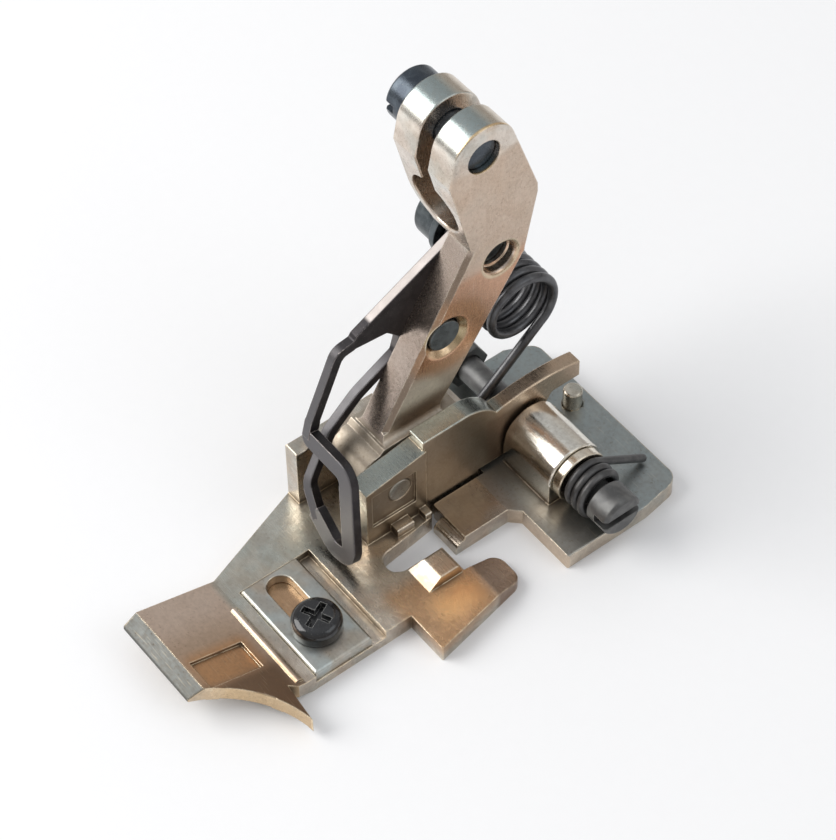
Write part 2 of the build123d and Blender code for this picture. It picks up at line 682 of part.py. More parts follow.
def finger_guard():
    """The finger guard: a flat on the arm and a strip bent into a loop round the needle."""
    lean = radians(LOOP_LEAN)
    low = (SOLE_T + LOOP_CLEARANCE - LOOP_Z) / cos(lean) + LOOP_W / 2
    loop_left = GUARD_LEFT + LOOP_W / 2
    end = Pos(*loop_point(loop_left, 0)) * Rot(90 - LOOP_LEAN, 0, 0) * Cylinder(LOOP_W / 2, GUARD_T)
    upper = strip(
        [
            (GUARD_MID, *arm_point(TAB_DOWN + STRAND_W / 3, STRAND_W - TAB_REACH)),
            (GUARD_MID, *arm_point(TAB_DOWN + TAB_W + STRAND_W / 3, -STRAND_W - TAB_REACH)),
            loop_point(GUARD_MID, NECK),
            loop_point(GUARD_MID, 0),
        ],
        UPPER_BENDS,
        STRAND_W,
        (1, 0, 0),
    )
    loop = strip(
        [
            loop_point(loop_left, 0),
            loop_point(LOOP_TOP_RIGHT, 0),
            loop_point(LOOP_LOW_RIGHT, low + LOOP_HOOK / 4),
            loop_point(LOOP_LOW_LEFT, low),
            loop_point(LOOP_END, low + LOOP_HOOK),
        ],
        LOOP_BENDS,
        LOOP_W,
        (0, -cos(lean), sin(lean)),
    )
    lower = strip(
        [
            (GUARD_MID, *arm_point(PLATE_END - STRAND_W, PLATE_LIP + STRAND_W)),
            (GUARD_MID, LOOP_Y + STRAND_BACK, LOOP_Z + NECK),
            (GUARD_MID, LOOP_Y + STRAND_TURN, LOOP_Z - NECK / 2),
            loop_point(CROSS_X, -CROSS_DROP),
            loop_point(LOOP_END + STRAND_W / 2, low + LOOP_HOOK - STRAND_W / 2),
        ],
        LOWER_BENDS,
        STRAND_W,
        (1, 0, 0),
    )
    return guard_plate() + upper + loop + end + lower


def arc_points(radius, y, z, x_span, angles):
    """Points of a coil about an axis along X, between two angles from +Y towards +Z."""
    steps = ceil(abs(angles[1] - angles[0]) / WIRE_STEP)
    points = []
    for step in range(steps + 1):
        share = step / steps
        turn = radians(angles[0] + (angles[1] - angles[0]) * share)
        x = x_span[0] + (x_span[1] - x_span[0]) * share
        points.append((x, y + radius * cos(turn), z + radius * sin(turn)))
    return points


def wire(points, radius):
    """A wire with flat sides along straight lengths."""
    path = Polyline(*points)
    section = Plane(origin=path @ 0, z_dir=path % 0) * RegularPolygon(radius, WIRE_SIDES)
    return sweep(section, path=path, transition=Transition.RIGHT)


def tilt_spring():
    """The torsion spring that tilts the sole: eye on the upper screw, leg, coil and lower leg."""
    eye_y, eye_z = UPPER_HOLE
    to_coil = (COIL_Y - eye_y, COIL_Z - eye_z)
    leave = atan2(to_coil[1], to_coil[0]) + acos((EYE_R - COIL_R) / hypot(*to_coil))
    to_hinge = (HINGE_Y - COIL_Y, HINGE_Z - COIL_Z)
    rest = COIL_R + HINGE_R + WIRE_R + LEG_PLAY
    end = atan2(to_hinge[1], to_hinge[0]) + acos(rest / hypot(*to_hinge))
    turns = COIL_TURNS + (leave - end) / radians(360)
    left = EYE_X - COIL_PITCH
    right = left + turns * COIL_PITCH
    eye = arc_points(EYE_R, eye_y, eye_z, (EYE_X, EYE_X), (degrees(leave) + EYE_WRAP, degrees(leave)))
    x, y, z = eye[-1]
    straight = (x, y + EYE_STRAIGHT * sin(leave), z - EYE_STRAIGHT * cos(leave))
    angles = (degrees(leave), degrees(end) - 360 * COIL_TURNS)
    coil = arc_points(COIL_R, COIL_Y, COIL_Z, (left, right), angles)
    reach = (hypot(*to_hinge) ** 2 - rest**2) ** 0.5 + LEG_OVERHANG
    x, y, z = coil[-1]
    tip = (x, y + reach * sin(end), z - reach * cos(end))
    return wire([*eye, straight, *coil, tip], WIRE_R)


def rear_sole():
    """The rear sole as one casting: plate, tongue beside the wall and hinge barrel."""
    tongue_right = BARREL_LEFT + TONGUE_W
    tongue_front = REAR_FRONT - TONGUE_L
    outline = polygon(
        (REAR_LEFT, REAR_FRONT),
        (BARREL_LEFT, REAR_FRONT),
        (BARREL_LEFT, tongue_front),
        (tongue_right, tongue_front),
        (tongue_right, REAR_FRONT - TONGUE_FLARE),
        (tongue_right + TONGUE_FLARE, REAR_FRONT),
        (REAR_RIGHT, REAR_FRONT),
        (REAR_RIGHT, REAR_BACK - REAR_TAPER_L),
        (REAR_RIGHT - REAR_TAPER, REAR_BACK),
        (REAR_LEFT + REAR_CUT, REAR_BACK),
        (REAR_LEFT, REAR_BACK - REAR_CUT_L),
    )
    body = prism_z(fillet(outline.vertices().group_by(Axis.Y)[-1], REAR_CORNER), 0, SOLE_T)
    nose = block((BARREL_LEFT + NOSE_INSET, tongue_right), (tongue_front - NOSE_L, tongue_front), (0, NOSE_H))
    body += fillet(nose.edges().filter_by(Axis.X).group_by(Axis.Y)[0].sort_by(Axis.Z)[-1], NOSE_R)
    barrel = Circle(BARREL_R) + Pos(0, -HINGE_Z / 2) * Rectangle(2 * BARREL_R, HINGE_Z)
    body += prism_x(Pos(HINGE_Y, HINGE_Z) * barrel, BARREL_LEFT, BARREL_RIGHT)
    body -= rod_x(HINGE_R + RUN_FIT, BARREL_LEFT - OVERCUT, BARREL_RIGHT + OVERCUT, HINGE_Y, HINGE_Z)
    return body - Pos(PEG_X, PEG_Y) * Cylinder(PEG_R, REACH)


def stop_peg():
    """The peg in the rear sole that meets the wall's tail when the rear sole swings up."""
    peg = Cylinder(PEG_R, SOLE_T + PEG_H, align=(Align.CENTER, Align.CENTER, Align.MIN))
    return Pos(PEG_X, PEG_Y) * chamfer(peg.edges().group_by(Axis.Z)[-1], PEG_R / 5)


def hinge_collar():
    """The collar between the barrel and the small spring."""
    ring = rod_x(COLLAR_R, BARREL_RIGHT + SEAT_GAP, COLLAR_RIGHT, HINGE_Y, HINGE_Z)
    return ring - rod_x(HINGE_R + SCREW_FIT, BARREL_RIGHT - OVERCUT, COLLAR_RIGHT + OVERCUT, HINGE_Y, HINGE_Z)


def rear_hinge_screw():
    """The long slotted screw on which the rear sole tilts."""
    right = HINGE_HEAD_X + HINGE_HEAD_H
    head = rod_x(HINGE_HEAD_R, HINGE_HEAD_X, right, HINGE_Y, HINGE_Z)
    head = chamfer(head.edges().group_by(Axis.X)[-1], HEAD_CHAMFER)
    half = HEAD_SLOT / 2
    slot = block((right - HINGE_SLOT_DEPTH, right + OVERCUT), (-REACH, REACH), (-half, half))
    shank = rod_x(HINGE_R, NUT_LEFT - NUT_THREAD, HINGE_HEAD_X, HINGE_Y, HINGE_Z)
    return shank + head - Pos(0, HINGE_Y, HINGE_Z) * slot


def rear_hinge_nut():
    """The hexagon nut on the hinge screw's left end."""
    hexagon = RegularPolygon(NUT_ACROSS / 2, 6, major_radius=False) - Circle(HINGE_R + SCREW_FIT)
    return prism_x(Pos(HINGE_Y, HINGE_Z) * hexagon, NUT_LEFT, NUT_LEFT + NUT_T)


def rear_spring():
    """The small torsion spring that presses the rear sole down with one leg on its plate."""
    to_plate = (SMALL_LEG_Y - HINGE_Y, SOLE_T + SMALL_WIRE_R + SEAT_GAP - HINGE_Z)
    leave = degrees(atan2(to_plate[1], to_plate[0]) + acos(SMALL_COIL_R / hypot(*to_plate)))
    right = SMALL_LEFT + SMALL_TURNS * SMALL_PITCH
    coil = arc_points(SMALL_COIL_R, HINGE_Y, HINGE_Z, (SMALL_LEFT, right), (leave, leave + 360 * SMALL_TURNS))
    return wire([(SMALL_LEFT, HINGE_Y + to_plate[0], HINGE_Z + to_plate[1]), *coil], SMALL_WIRE_R)


PARTS = (
    front_sole,
    hinge_pin,
    guide_slide,
    guide_screw,
    shank_arm,
    clamp_screw,
    finger_guard,
    guard_washer,
    guard_screw_upper,
    guard_screw_lower,
    tilt_spring,
    rear_sole,
    stop_peg,
    hinge_collar,
    rear_hinge_screw,
    rear_hinge_nut,
    rear_spring,
)

os.makedirs("parts", exist_ok=True)
for make in PARTS:
    export_step(make(), f"parts/{make.__name__}.step")
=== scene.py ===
"""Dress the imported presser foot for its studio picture.

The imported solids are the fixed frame. Each machined piece is shown by a copy of its own solid with
softened edges, the springs and the thread are surfaces worked out on grids, and every piece gets a
finish made of shader nodes. Lengths are in millimetres and angles in degrees unless a line says
otherwise.
"""

import json
import logging
import math
from dataclasses import dataclass
from enum import Enum
from typing import Any, ClassVar, Iterable, Mapping, Sequence, Union

import bmesh
import bpy
import numpy as np
from mathutils import Matrix, Vector

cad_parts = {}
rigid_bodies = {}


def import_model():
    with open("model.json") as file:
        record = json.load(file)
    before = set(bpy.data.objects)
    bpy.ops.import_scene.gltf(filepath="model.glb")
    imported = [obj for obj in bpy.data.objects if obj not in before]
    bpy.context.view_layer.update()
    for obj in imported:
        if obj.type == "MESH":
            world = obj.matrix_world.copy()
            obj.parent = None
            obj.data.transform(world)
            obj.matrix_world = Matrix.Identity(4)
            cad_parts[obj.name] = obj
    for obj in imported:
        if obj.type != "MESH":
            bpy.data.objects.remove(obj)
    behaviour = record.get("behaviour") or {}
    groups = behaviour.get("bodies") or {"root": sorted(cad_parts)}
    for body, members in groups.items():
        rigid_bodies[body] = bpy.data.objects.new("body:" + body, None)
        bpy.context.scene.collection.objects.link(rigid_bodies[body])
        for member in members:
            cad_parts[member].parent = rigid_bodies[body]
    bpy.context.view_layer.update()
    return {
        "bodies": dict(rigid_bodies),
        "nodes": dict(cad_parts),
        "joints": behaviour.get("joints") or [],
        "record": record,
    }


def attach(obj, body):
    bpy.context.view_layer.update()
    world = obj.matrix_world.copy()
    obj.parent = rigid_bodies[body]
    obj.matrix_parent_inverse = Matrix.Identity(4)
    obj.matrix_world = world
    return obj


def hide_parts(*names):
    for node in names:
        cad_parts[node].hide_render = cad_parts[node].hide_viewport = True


LOG = logging.getLogger("presser_foot")
MM = 0.001
FULL_TURN = 360.0

Pair = tuple[float, float]
Triple = tuple[float, float, float]
Colour = tuple[float, float, float]
Box = tuple[Triple, Triple]
Stops = Sequence[tuple[float, Colour]]
Number = Union[float, "Wire"]
Sockets = Mapping[Union[int, str], Any]

# Directions that a tinted face can look in
UP: Triple = (0.0, 0.0, 1.0)
RIGHT: Triple = (1.0, 0.0, 0.0)
ANY_WAY: Triple = (0.0, 0.0, 0.0)

# Joining a solid's facets: two distances in metres and an angle
SAME_PLACE = 2e-6
NO_LENGTH = 1e-6
SAME_PLANE = 0.6

# Rounding a solid's edges: the least turn of an edge, then how spoiled roundings are found and cleared
LEAST_TURN = 32.0
ROUNDING_SEGMENTS = 3
ROUNDING_TRIES = 8
CLEARED_WIDTHS = 2.5
RISEN_WIDTHS = 0.5
TURNED_OVER = -0.1
LEAST_AREA = 1e-5

# Shading: faces that turn less than this share a normal
FLAT_TURN = 10.0
ROUND_TURN = 40.0

# A wire: points of a ring, the turn between rings of a coil, and the rounded end in shares of the radius
WIRE_SIDES = 14
COIL_STEP = 6.0
LIP_PLACES: Pair = (0.1, 0.35)
LIP_SIZES: Pair = (0.7, 0.9)

# A thread: points of a turn, fades per turn, and lengths in shares of the pitch or the height
THREAD_STEPS = 40
THREAD_FADES = 3
THREAD_MARGIN = 0.45
THREAD_HALF = 0.42
THREAD_LEAST = 0.05

# Shader nodes: samples, the noise's mean value and the numbers of the Mix node's colour sockets
BEVEL_SAMPLES = 4
HOLLOW_SAMPLES = 8
NOISE_MEAN = 0.5
MIX_SHARE, MIX_FIRST, MIX_SECOND, MIX_RESULT = 0, 6, 7, 2


class Body(Enum):
    """The bodies that a piece can ride on."""

    FRONT = "front"
    ARM = "arm"
    REAR = "rear"
    GUIDE = "guide"


class Slot(Enum):
    """The record's material slots."""

    SOLE = "nickel_sole"
    SLIDE = "nickel_slide"
    ARM = "nickel_arm"
    BRIGHT = "bright_steel"
    BLUED = "blued_steel"
    OXIDE = "black_oxide"
    SPRING = "spring_steel"
    DARK = "dark_steel"


class Axis(Enum):
    """Directions that the grain of a brushed face can follow."""

    X = 0
    Y = 1
    Z = 2


class Wire:
    """An output socket that takes part in Python expressions and adds Math nodes as it does."""

    def __init__(self, nodes: "Nodes", socket: bpy.types.NodeSocket) -> None:
        """Wrap one socket of a node tree.

        Args:
            nodes: The node tree that holds the socket.
            socket: The output socket.
        """
        self.nodes = nodes
        self.socket = socket

    def _math(self, operation: str, first: Number, second: Number) -> "Wire":
        """One Math node on two values."""
        return self.nodes.node("ShaderNodeMath", {"operation": operation}, {0: first, 1: second})

    def __add__(self, other: Number) -> "Wire":
        """Sum of two values."""
        return self._math("ADD", self, other)

    __radd__ = __add__

    def __sub__(self, other: Number) -> "Wire":
        """This value less another."""
        return self._math("SUBTRACT", self, other)

    def __rsub__(self, other: Number) -> "Wire":
        """Another value less this one."""
        return self._math("SUBTRACT", other, self)

    def __mul__(self, other: Number) -> "Wire":
        """Product of two values."""
        return self._math("MULTIPLY", self, other)

    __rmul__ = __mul__

    def __pow__(self, other: Number) -> "Wire":
        """This value to a power."""
        return self._math("POWER", self, other)

    def most(self, other: Number) -> "Wire":
        """The larger of two values."""
        return self._math("MAXIMUM", self, other)

    def kept(self, low: float, high: float) -> "Wire":
        """This value kept between two limits."""
        return self._math("MINIMUM", self.most(low), high)

    def step(self, low: float, high: float) -> "Wire":
        """A smooth step from 0 at the low value to 1 at the high one.

        Args:
            low: Where the step starts.
            high: Where it ends, below low for a falling step.

        Returns:
            The step, between 0 and 1.
        """
        bounds = (low, high, 0.0, 1.0) if low < high else (high, low, 1.0, 0.0)
        keys = ("From Min", "From Max", "To Min", "To Max")
        inputs: Sockets = {"Value": self, **dict(zip(keys, bounds))}
        return self.nodes.node("ShaderNodeMapRange", {"interpolation_type": "SMOOTHSTEP"}, inputs)


class Nodes:
    """A node tree whose nodes are added by expressions."""

    def __init__(self, tree: bpy.types.NodeTree) -> None:
        """Wrap the tree of a material or of the surround."""
        self.tree = tree

    def node(
        self,
        kind: str,
        settings: Mapping[str, Any] | None = None,
        inputs: Sockets | None = None,
        output: Union[int, str] = 0,
    ) -> Wire:
        """Add any node.

        Args:
            kind: The node's type.
            settings: Its properties, set first; "stops" are the stops of a colour ramp.
            inputs: Values or wires of its input sockets.
            output: Which output is returned.

        Returns:
            The wrapped output socket.
        """
        node = self.tree.nodes.new(kind)
        for key, value in (settings or {}).items():
            if key == "stops":
                self._set_stops(node.color_ramp, value)
            else:
                setattr(node, key, value)
        for key, value in (inputs or {}).items():
            self.feed(node.inputs[key], value)
        return Wire(self, node.outputs[output])

    def feed(self, socket: bpy.types.NodeSocket, value: Any) -> None:
        """Link a wire to a socket, or set the socket's own value."""
        if isinstance(value, Wire):
            self.tree.links.new(value.socket, socket)
        elif socket.type == "RGBA":
            socket.default_value = (*value, 1.0)
        else:
            socket.default_value = value

    @staticmethod
    def _set_stops(ramp: bpy.types.ColorRamp, stops: Stops) -> None:
        """Give a colour ramp its stops."""
        while len(ramp.elements) < len(stops):
            ramp.elements.new(1.0)
        for element, (position, colour) in zip(ramp.elements, stops):
            element.position = position
            element.color = (*colour, 1.0)


@dataclass(frozen=True)
class Pattern:
    """A fractal noise on a finish, and what it does there.

    Attributes:
        scale: Features per millimetre.
        detail: Octaves.
        warp: Distortion.
        span: Values of the noise at which its tint starts and is full.
        amount: How much of the tint shows.
        rough: How far it moves the roughness.
        relief: Its share of the bumps.
    """

    scale: float
    detail: float
    warp: float = 0.0
    span: Pair = (0.0, 1.0)
    amount: float = 1.0
    rough: float = 0.0
    relief: float = 0.0


class Recipe(Nodes):
    """The node tree of one material, with the patterns and masks that finishes are made of."""

    def __init__(self, name: str) -> None:
        """Start a material with a Principled shader on its output.

        Args:
            name: The material's name.
        """
        self.material = bpy.data.materials.new(name)
        self.material.use_nodes = True
        super().__init__(self.material.node_tree)
        self.tree.nodes.clear()
        self.shader = self.tree.nodes.new("ShaderNodeBsdfPrincipled")
        output = self.tree.nodes.new("ShaderNodeOutputMaterial")
        self.tree.links.new(self.shader.outputs[0], output.inputs[0])
        metres = self.node("ShaderNodeTexCoord", output="Object")
        scaled: Sockets = {0: metres, "Scale": 1 / MM}
        self.place = self.node("ShaderNodeVectorMath", {"operation": "SCALE"}, scaled)
        self.normal = self.node("ShaderNodeTexCoord", output="Normal")

    def axis(self, axis: Axis) -> Wire:
        """One coordinate of the place on the piece, in millimetres."""
        return self.node("ShaderNodeSeparateXYZ", inputs={0: self.place}, output=axis.value)

    def dot(self, first: Any, second: Any) -> Wire:
        """The dot product of two directions."""
        product = {"operation": "DOT_PRODUCT"}
        return self.node("ShaderNodeVectorMath", product, {0: first, 1: second}, "Value")

    def facing(self, direction: Triple) -> Wire:
        """How far the surface faces a direction of the piece, from -1 to 1."""
        return self.dot(self.normal, direction)

    def noise(self, pattern: Pattern, stretch: Triple = (1.0, 1.0, 1.0)) -> Wire:
        """The fractal noise of a pattern.

        Args:
            pattern: The pattern.
            stretch: Factor on each coordinate, small along the grain of a brushed face.

        Returns:
            The noise, about 0.5 on average.
        """
        factors: Sockets = {0: self.place, 1: stretch}
        inputs: Sockets = {
            "Vector": self.node("ShaderNodeVectorMath", {"operation": "MULTIPLY"}, factors),
            "Scale": pattern.scale,
            "Detail": pattern.detail,
            "Distortion": pattern.warp,
        }
        return self.node("ShaderNodeTexNoise", inputs=inputs)

    def mix(self, share: Number, first: Any, second: Any) -> Wire:
        """Mix two colours by a share of the second."""
        inputs: Sockets = {MIX_SHARE: share, MIX_FIRST: first, MIX_SECOND: second}
        return self.node("ShaderNodeMix", {"data_type": "RGBA"}, inputs, MIX_RESULT)

    def rounded(self, radius: float) -> Wire:
        """The normal that edges rounded by a radius in millimetres would have."""
        return self.node("ShaderNodeBevel", {"samples": BEVEL_SAMPLES}, {"Radius": radius * MM})

    def edge(self, radius: float) -> Wire:
        """A mask of convex and concave edges.

        Args:
            radius: Reach of the mask from the edge, in millimetres.

        Returns:
            The angle that a rounding of that radius turns the normal by, as 1 less its cosine.
        """
        flat = self.node("ShaderNodeNewGeometry", output="Normal")
        return 1.0 - self.dot(self.rounded(radius), flat)

    def hollow(self, reach: float) -> Wire:
        """A mask of inner corners and recesses.

        Args:
            reach: Distance in millimetres within which other faces of the same piece count.

        Returns:
            The share of the open sky that those faces hide.
        """
        settings = {"samples": HOLLOW_SAMPLES, "only_local": True}
        return 1.0 - self.node(
            "ShaderNodeAmbientOcclusion", settings, {"Distance": reach * MM}, "AO"
        )

    def bump(self, height: Wire, strength: float, depth: float, rounding: float = 0.0) -> Wire:
        """A bumped normal.

        Args:
            height: The relief, from 0 to 1.
            strength: Share of the relief that shows.
            depth: Depth of the relief in millimetres.
            rounding: Radius in millimetres that softens hard edges, 0 for none.

        Returns:
            The normal.
        """
        inputs: dict[Union[int, str], Any] = {
            "Height": height,
            "Strength": strength,
            "Distance": depth * MM,
        }
        if rounding > 0:
            inputs["Normal"] = self.rounded(rounding)
        return self.node("ShaderNodeBump", inputs=inputs)

    def cover(self, sockets: Mapping[str, Any]) -> bpy.types.Material:
        """Feed the Principled shader and return the material."""
        for key, value in sockets.items():
            self.feed(self.shader.inputs[key], value)
        return self.material


@dataclass(frozen=True)
class Zone:
    """A tinted part of a finish, inside a box of the piece; some zones hold the piece's own colour and
    some hold painted highlights, reflections or shade.

    Attributes:
        low: Lowest corner in millimetres.
        high: Highest corner in millimetres.
        tint: The colour there.
        amount: How much of it shows.
        soft: Width of the fading border in millimetres.
        facing: Direction that the tinted faces look in, all zero for any.
        rough: Roughness added there.
        spread: Shares of facing at which the tint starts and is full.
    """

    low: Triple
    high: Triple
    tint: Colour
    amount: float = 1.0
    soft: float = 0.6
    facing: Triple = ANY_WAY
    rough: float = 0.0
    spread: Pair = (0.35, 0.8)

    def mask(self, recipe: Recipe) -> Wire:
        """Where the zone shows.

        Args:
            recipe: The material's recipe.

        Returns:
            A value between 0 and the zone's amount.
        """
        share: Number = self.amount
        for axis, low, high in zip(Axis, self.low, self.high):
            place = recipe.axis(axis)
            share = share * place.step(low - self.soft, low + self.soft)
            share = share * place.step(high + self.soft, high - self.soft)
        if any(self.facing):
            share = share * recipe.facing(self.facing).step(*self.spread)
        return share


@dataclass(frozen=True)
class Ring:
    """A ring-shaped stain round a hole whose axis runs along X.

    Attributes:
        centre: Y and Z of the axis in millimetres.
        inner: Radius where the ring starts.
        outer: Radius where it ends.
        tint: The colour there.
        amount: How much of it shows.
        soft: Width of the fading border.
        rough: Roughness added there.
        spread: Shares of facing along X at which the tint starts and is full.
    """

    centre: Pair
    inner: float
    outer: float
    tint: Colour
    amount: float = 1.0
    soft: float = 0.15
    rough: float = 0.0
    spread: Pair = (0.5, 0.9)

    def mask(self, recipe: Recipe) -> Wire:
        """Where the ring shows.

        Args:
            recipe: The material's recipe.

        Returns:
            A value between 0 and the ring's amount, on faces that look along X.
        """
        across = recipe.axis(Axis.Y) - self.centre[0]
        rise = recipe.axis(Axis.Z) - self.centre[1]
        radius = (across * across + rise * rise) ** 0.5
        share = radius.step(self.inner - self.soft, self.inner + self.soft)
        share = share * radius.step(self.outer + self.soft, self.outer - self.soft)
        return share * recipe.facing(RIGHT).step(*self.spread) * self.amount


@dataclass(frozen=True)
class Nickel:
    """Worn nickel plating: mottled, marked along its grain, darker in inner corners with painted shade
    and bright along rubbed edges.

    Attributes:
        name: The material's name.
        light: Colour of the clean plating.
        dark: Colour of the dulled plating.
        edge_tint: Colour along rubbed edges.
        rough: Mean roughness.
        grain: Direction of the finishing marks.
        zones: Parts with a tint of their own, and parts with painted highlights, reflections or shade.
        edge_amount: How strongly the edges are rubbed.
        pitting: Depth of the cast surface in millimetres.
        film: Colour of the cool film that clouds the plating.
        amber: Colour of the warm film.
    """

    name: str
    light: Colour
    dark: Colour
    edge_tint: Colour
    rough: float = 0.24
    grain: Axis = Axis.Y
    zones: tuple[Union[Zone, Ring], ...] = ()
    edge_amount: float = 0.9
    pitting: float = 0.03
    film: Colour = (0.34, 0.45, 0.45)
    amber: Colour = (0.6, 0.36, 0.17)

    CLOUD: ClassVar[Pattern] = Pattern(0.35, 4.0, 0.6, (0.36, 0.66), rough=0.18, relief=1.2)
    FILM: ClassVar[Pattern] = Pattern(0.3, 2.0, 0.5, (0.38, 0.72), 0.3)
    AMBER: ClassVar[Pattern] = Pattern(0.24, 2.0, 0.8, (0.42, 0.76), 0.26)
    MOTTLE: ClassVar[Pattern] = Pattern(2.4, 4.0, 0.0, (0.3, 0.8), 0.2, 0.15)
    FLECK: ClassVar[Pattern] = Pattern(4.2, 3.0, 0.0, (0.56, 0.74), 0.4, 0.12, 0.3)
    MARKS: ClassVar[Pattern] = Pattern(7.0, 2.0, 0.0, (0.6, 0.76), 0.14, relief=0.3)
    FINE: ClassVar[Pattern] = Pattern(16.0, 2.0, rough=0.2, relief=0.2)
    RUB: ClassVar[Pattern] = Pattern(0.9, 3.0, 0.0, (0.3, 0.55), rough=-0.08)

    # Length of the finishing marks as a factor on the noise along the grain
    GRAIN_STRETCH: ClassVar[float] = 0.06
    # Values of the cloud that flecks need to become stains
    STAIN_SPAN: ClassVar[Pair] = (0.36, 0.6)
    # Painted shade in recesses, which darkens inner corners where shade falls: reach in millimetres,
    # shares of hidden sky, amount and roughness
    HOLLOW_SHADE_REACH: ClassVar[float] = 1.2
    HOLLOW_SHADE_SPAN: ClassVar[Pair] = (0.08, 0.5)
    HOLLOW_SHADE_AMOUNT: ClassVar[float] = 0.8
    HOLLOW_ROUGH: ClassVar[float] = 0.2
    # Colour of stains and of the painted shade in recesses, as shares of the dulled plating
    STAIN_AND_SHADE_SHARES: ClassVar[Colour] = (0.36, 0.31, 0.26)
    # Rubbed edges: reach in millimetres and values of the edge mask
    EDGE_REACH: ClassVar[float] = 0.22
    EDGE_SPAN: ClassVar[Pair] = (0.02, 0.16)
    ROUGH_LIMITS: ClassVar[Pair] = (0.08, 0.75)
    BUMP_STRENGTH: ClassVar[float] = 0.35
    BUMP_ROUNDING: ClassVar[float] = 0.12

    def make(self) -> bpy.types.Material:
        """Build the material.

        Clean and dulled plating are clouded into each other under a cool and a warm film. The zones
        come over them, then stains and painted shade in recesses, the finishing marks and the rubbed
        edges.

        Returns:
            The material.
        """
        recipe = Recipe(self.name)
        stretch = tuple(self.GRAIN_STRETCH if axis is self.grain else 1.0 for axis in Axis)
        cloud = recipe.noise(self.CLOUD)
        cool = recipe.noise(self.FILM).step(*self.FILM.span) * self.FILM.amount
        warm = recipe.noise(self.AMBER).step(*self.AMBER.span) * self.AMBER.amount
        mottle = recipe.noise(self.MOTTLE)
        fleck = recipe.noise(self.FLECK)
        marks = recipe.noise(self.MARKS, stretch)
        fine = recipe.noise(self.FINE, stretch)

        colour = recipe.mix(cloud.step(*self.CLOUD.span), self.light, self.dark)
        colour = recipe.mix(cool, colour, self.film)
        colour = recipe.mix(warm, colour, self.amber)
        rough = self.rough + (cloud - NOISE_MEAN) * self.CLOUD.rough
        rough = rough + (fine - NOISE_MEAN) * self.FINE.rough
        for zone in self.zones:
            mask = zone.mask(recipe)
            colour = recipe.mix(mask, colour, zone.tint)
            rough = rough + mask * zone.rough

        stain = fleck.step(*self.FLECK.span) * cloud.step(*self.STAIN_SPAN)
        # Painted shade: the plating darkens in inner corners and recesses of the piece, where shade
        # falls
        hollow_shade = recipe.hollow(self.HOLLOW_SHADE_REACH).step(*self.HOLLOW_SHADE_SPAN)
        stain_and_shade = (stain * self.FLECK.amount).most(hollow_shade * self.HOLLOW_SHADE_AMOUNT)
        stain_and_shade_tint = tuple(share * part for share, part in zip(self.STAIN_AND_SHADE_SHARES, self.dark))
        colour = recipe.mix(mottle.step(*self.MOTTLE.span) * self.MOTTLE.amount, colour, stain_and_shade_tint)
        colour = recipe.mix(stain_and_shade, colour, stain_and_shade_tint)
        scratch = marks.step(*self.MARKS.span) * self.MARKS.amount
        colour = recipe.mix(scratch, colour, self.edge_tint)
        rub = recipe.edge(self.EDGE_REACH).step(*self.EDGE_SPAN)
        rub = rub * recipe.noise(self.RUB).step(*self.RUB.span) * self.edge_amount
        colour = recipe.mix(rub, colour, self.edge_tint)

        rough = rough + (mottle - NOISE_MEAN) * self.MOTTLE.rough + stain * self.FLECK.rough
        rough = rough + hollow_shade * self.HOLLOW_ROUGH + rub * self.RUB.rough
        relief = marks * self.MARKS.relief + fine * self.FINE.relief
        relief = relief + fleck * self.FLECK.relief + cloud * self.CLOUD.relief
        return recipe.cover(
            {
                "Base Color": colour,
                "Roughness": rough.kept(*self.ROUGH_LIMITS),
                "Metallic": 1.0,
                "Normal": recipe.bump(
                    relief, self.BUMP_STRENGTH, self.pitting, self.BUMP_ROUNDING
                ),
            }
        )


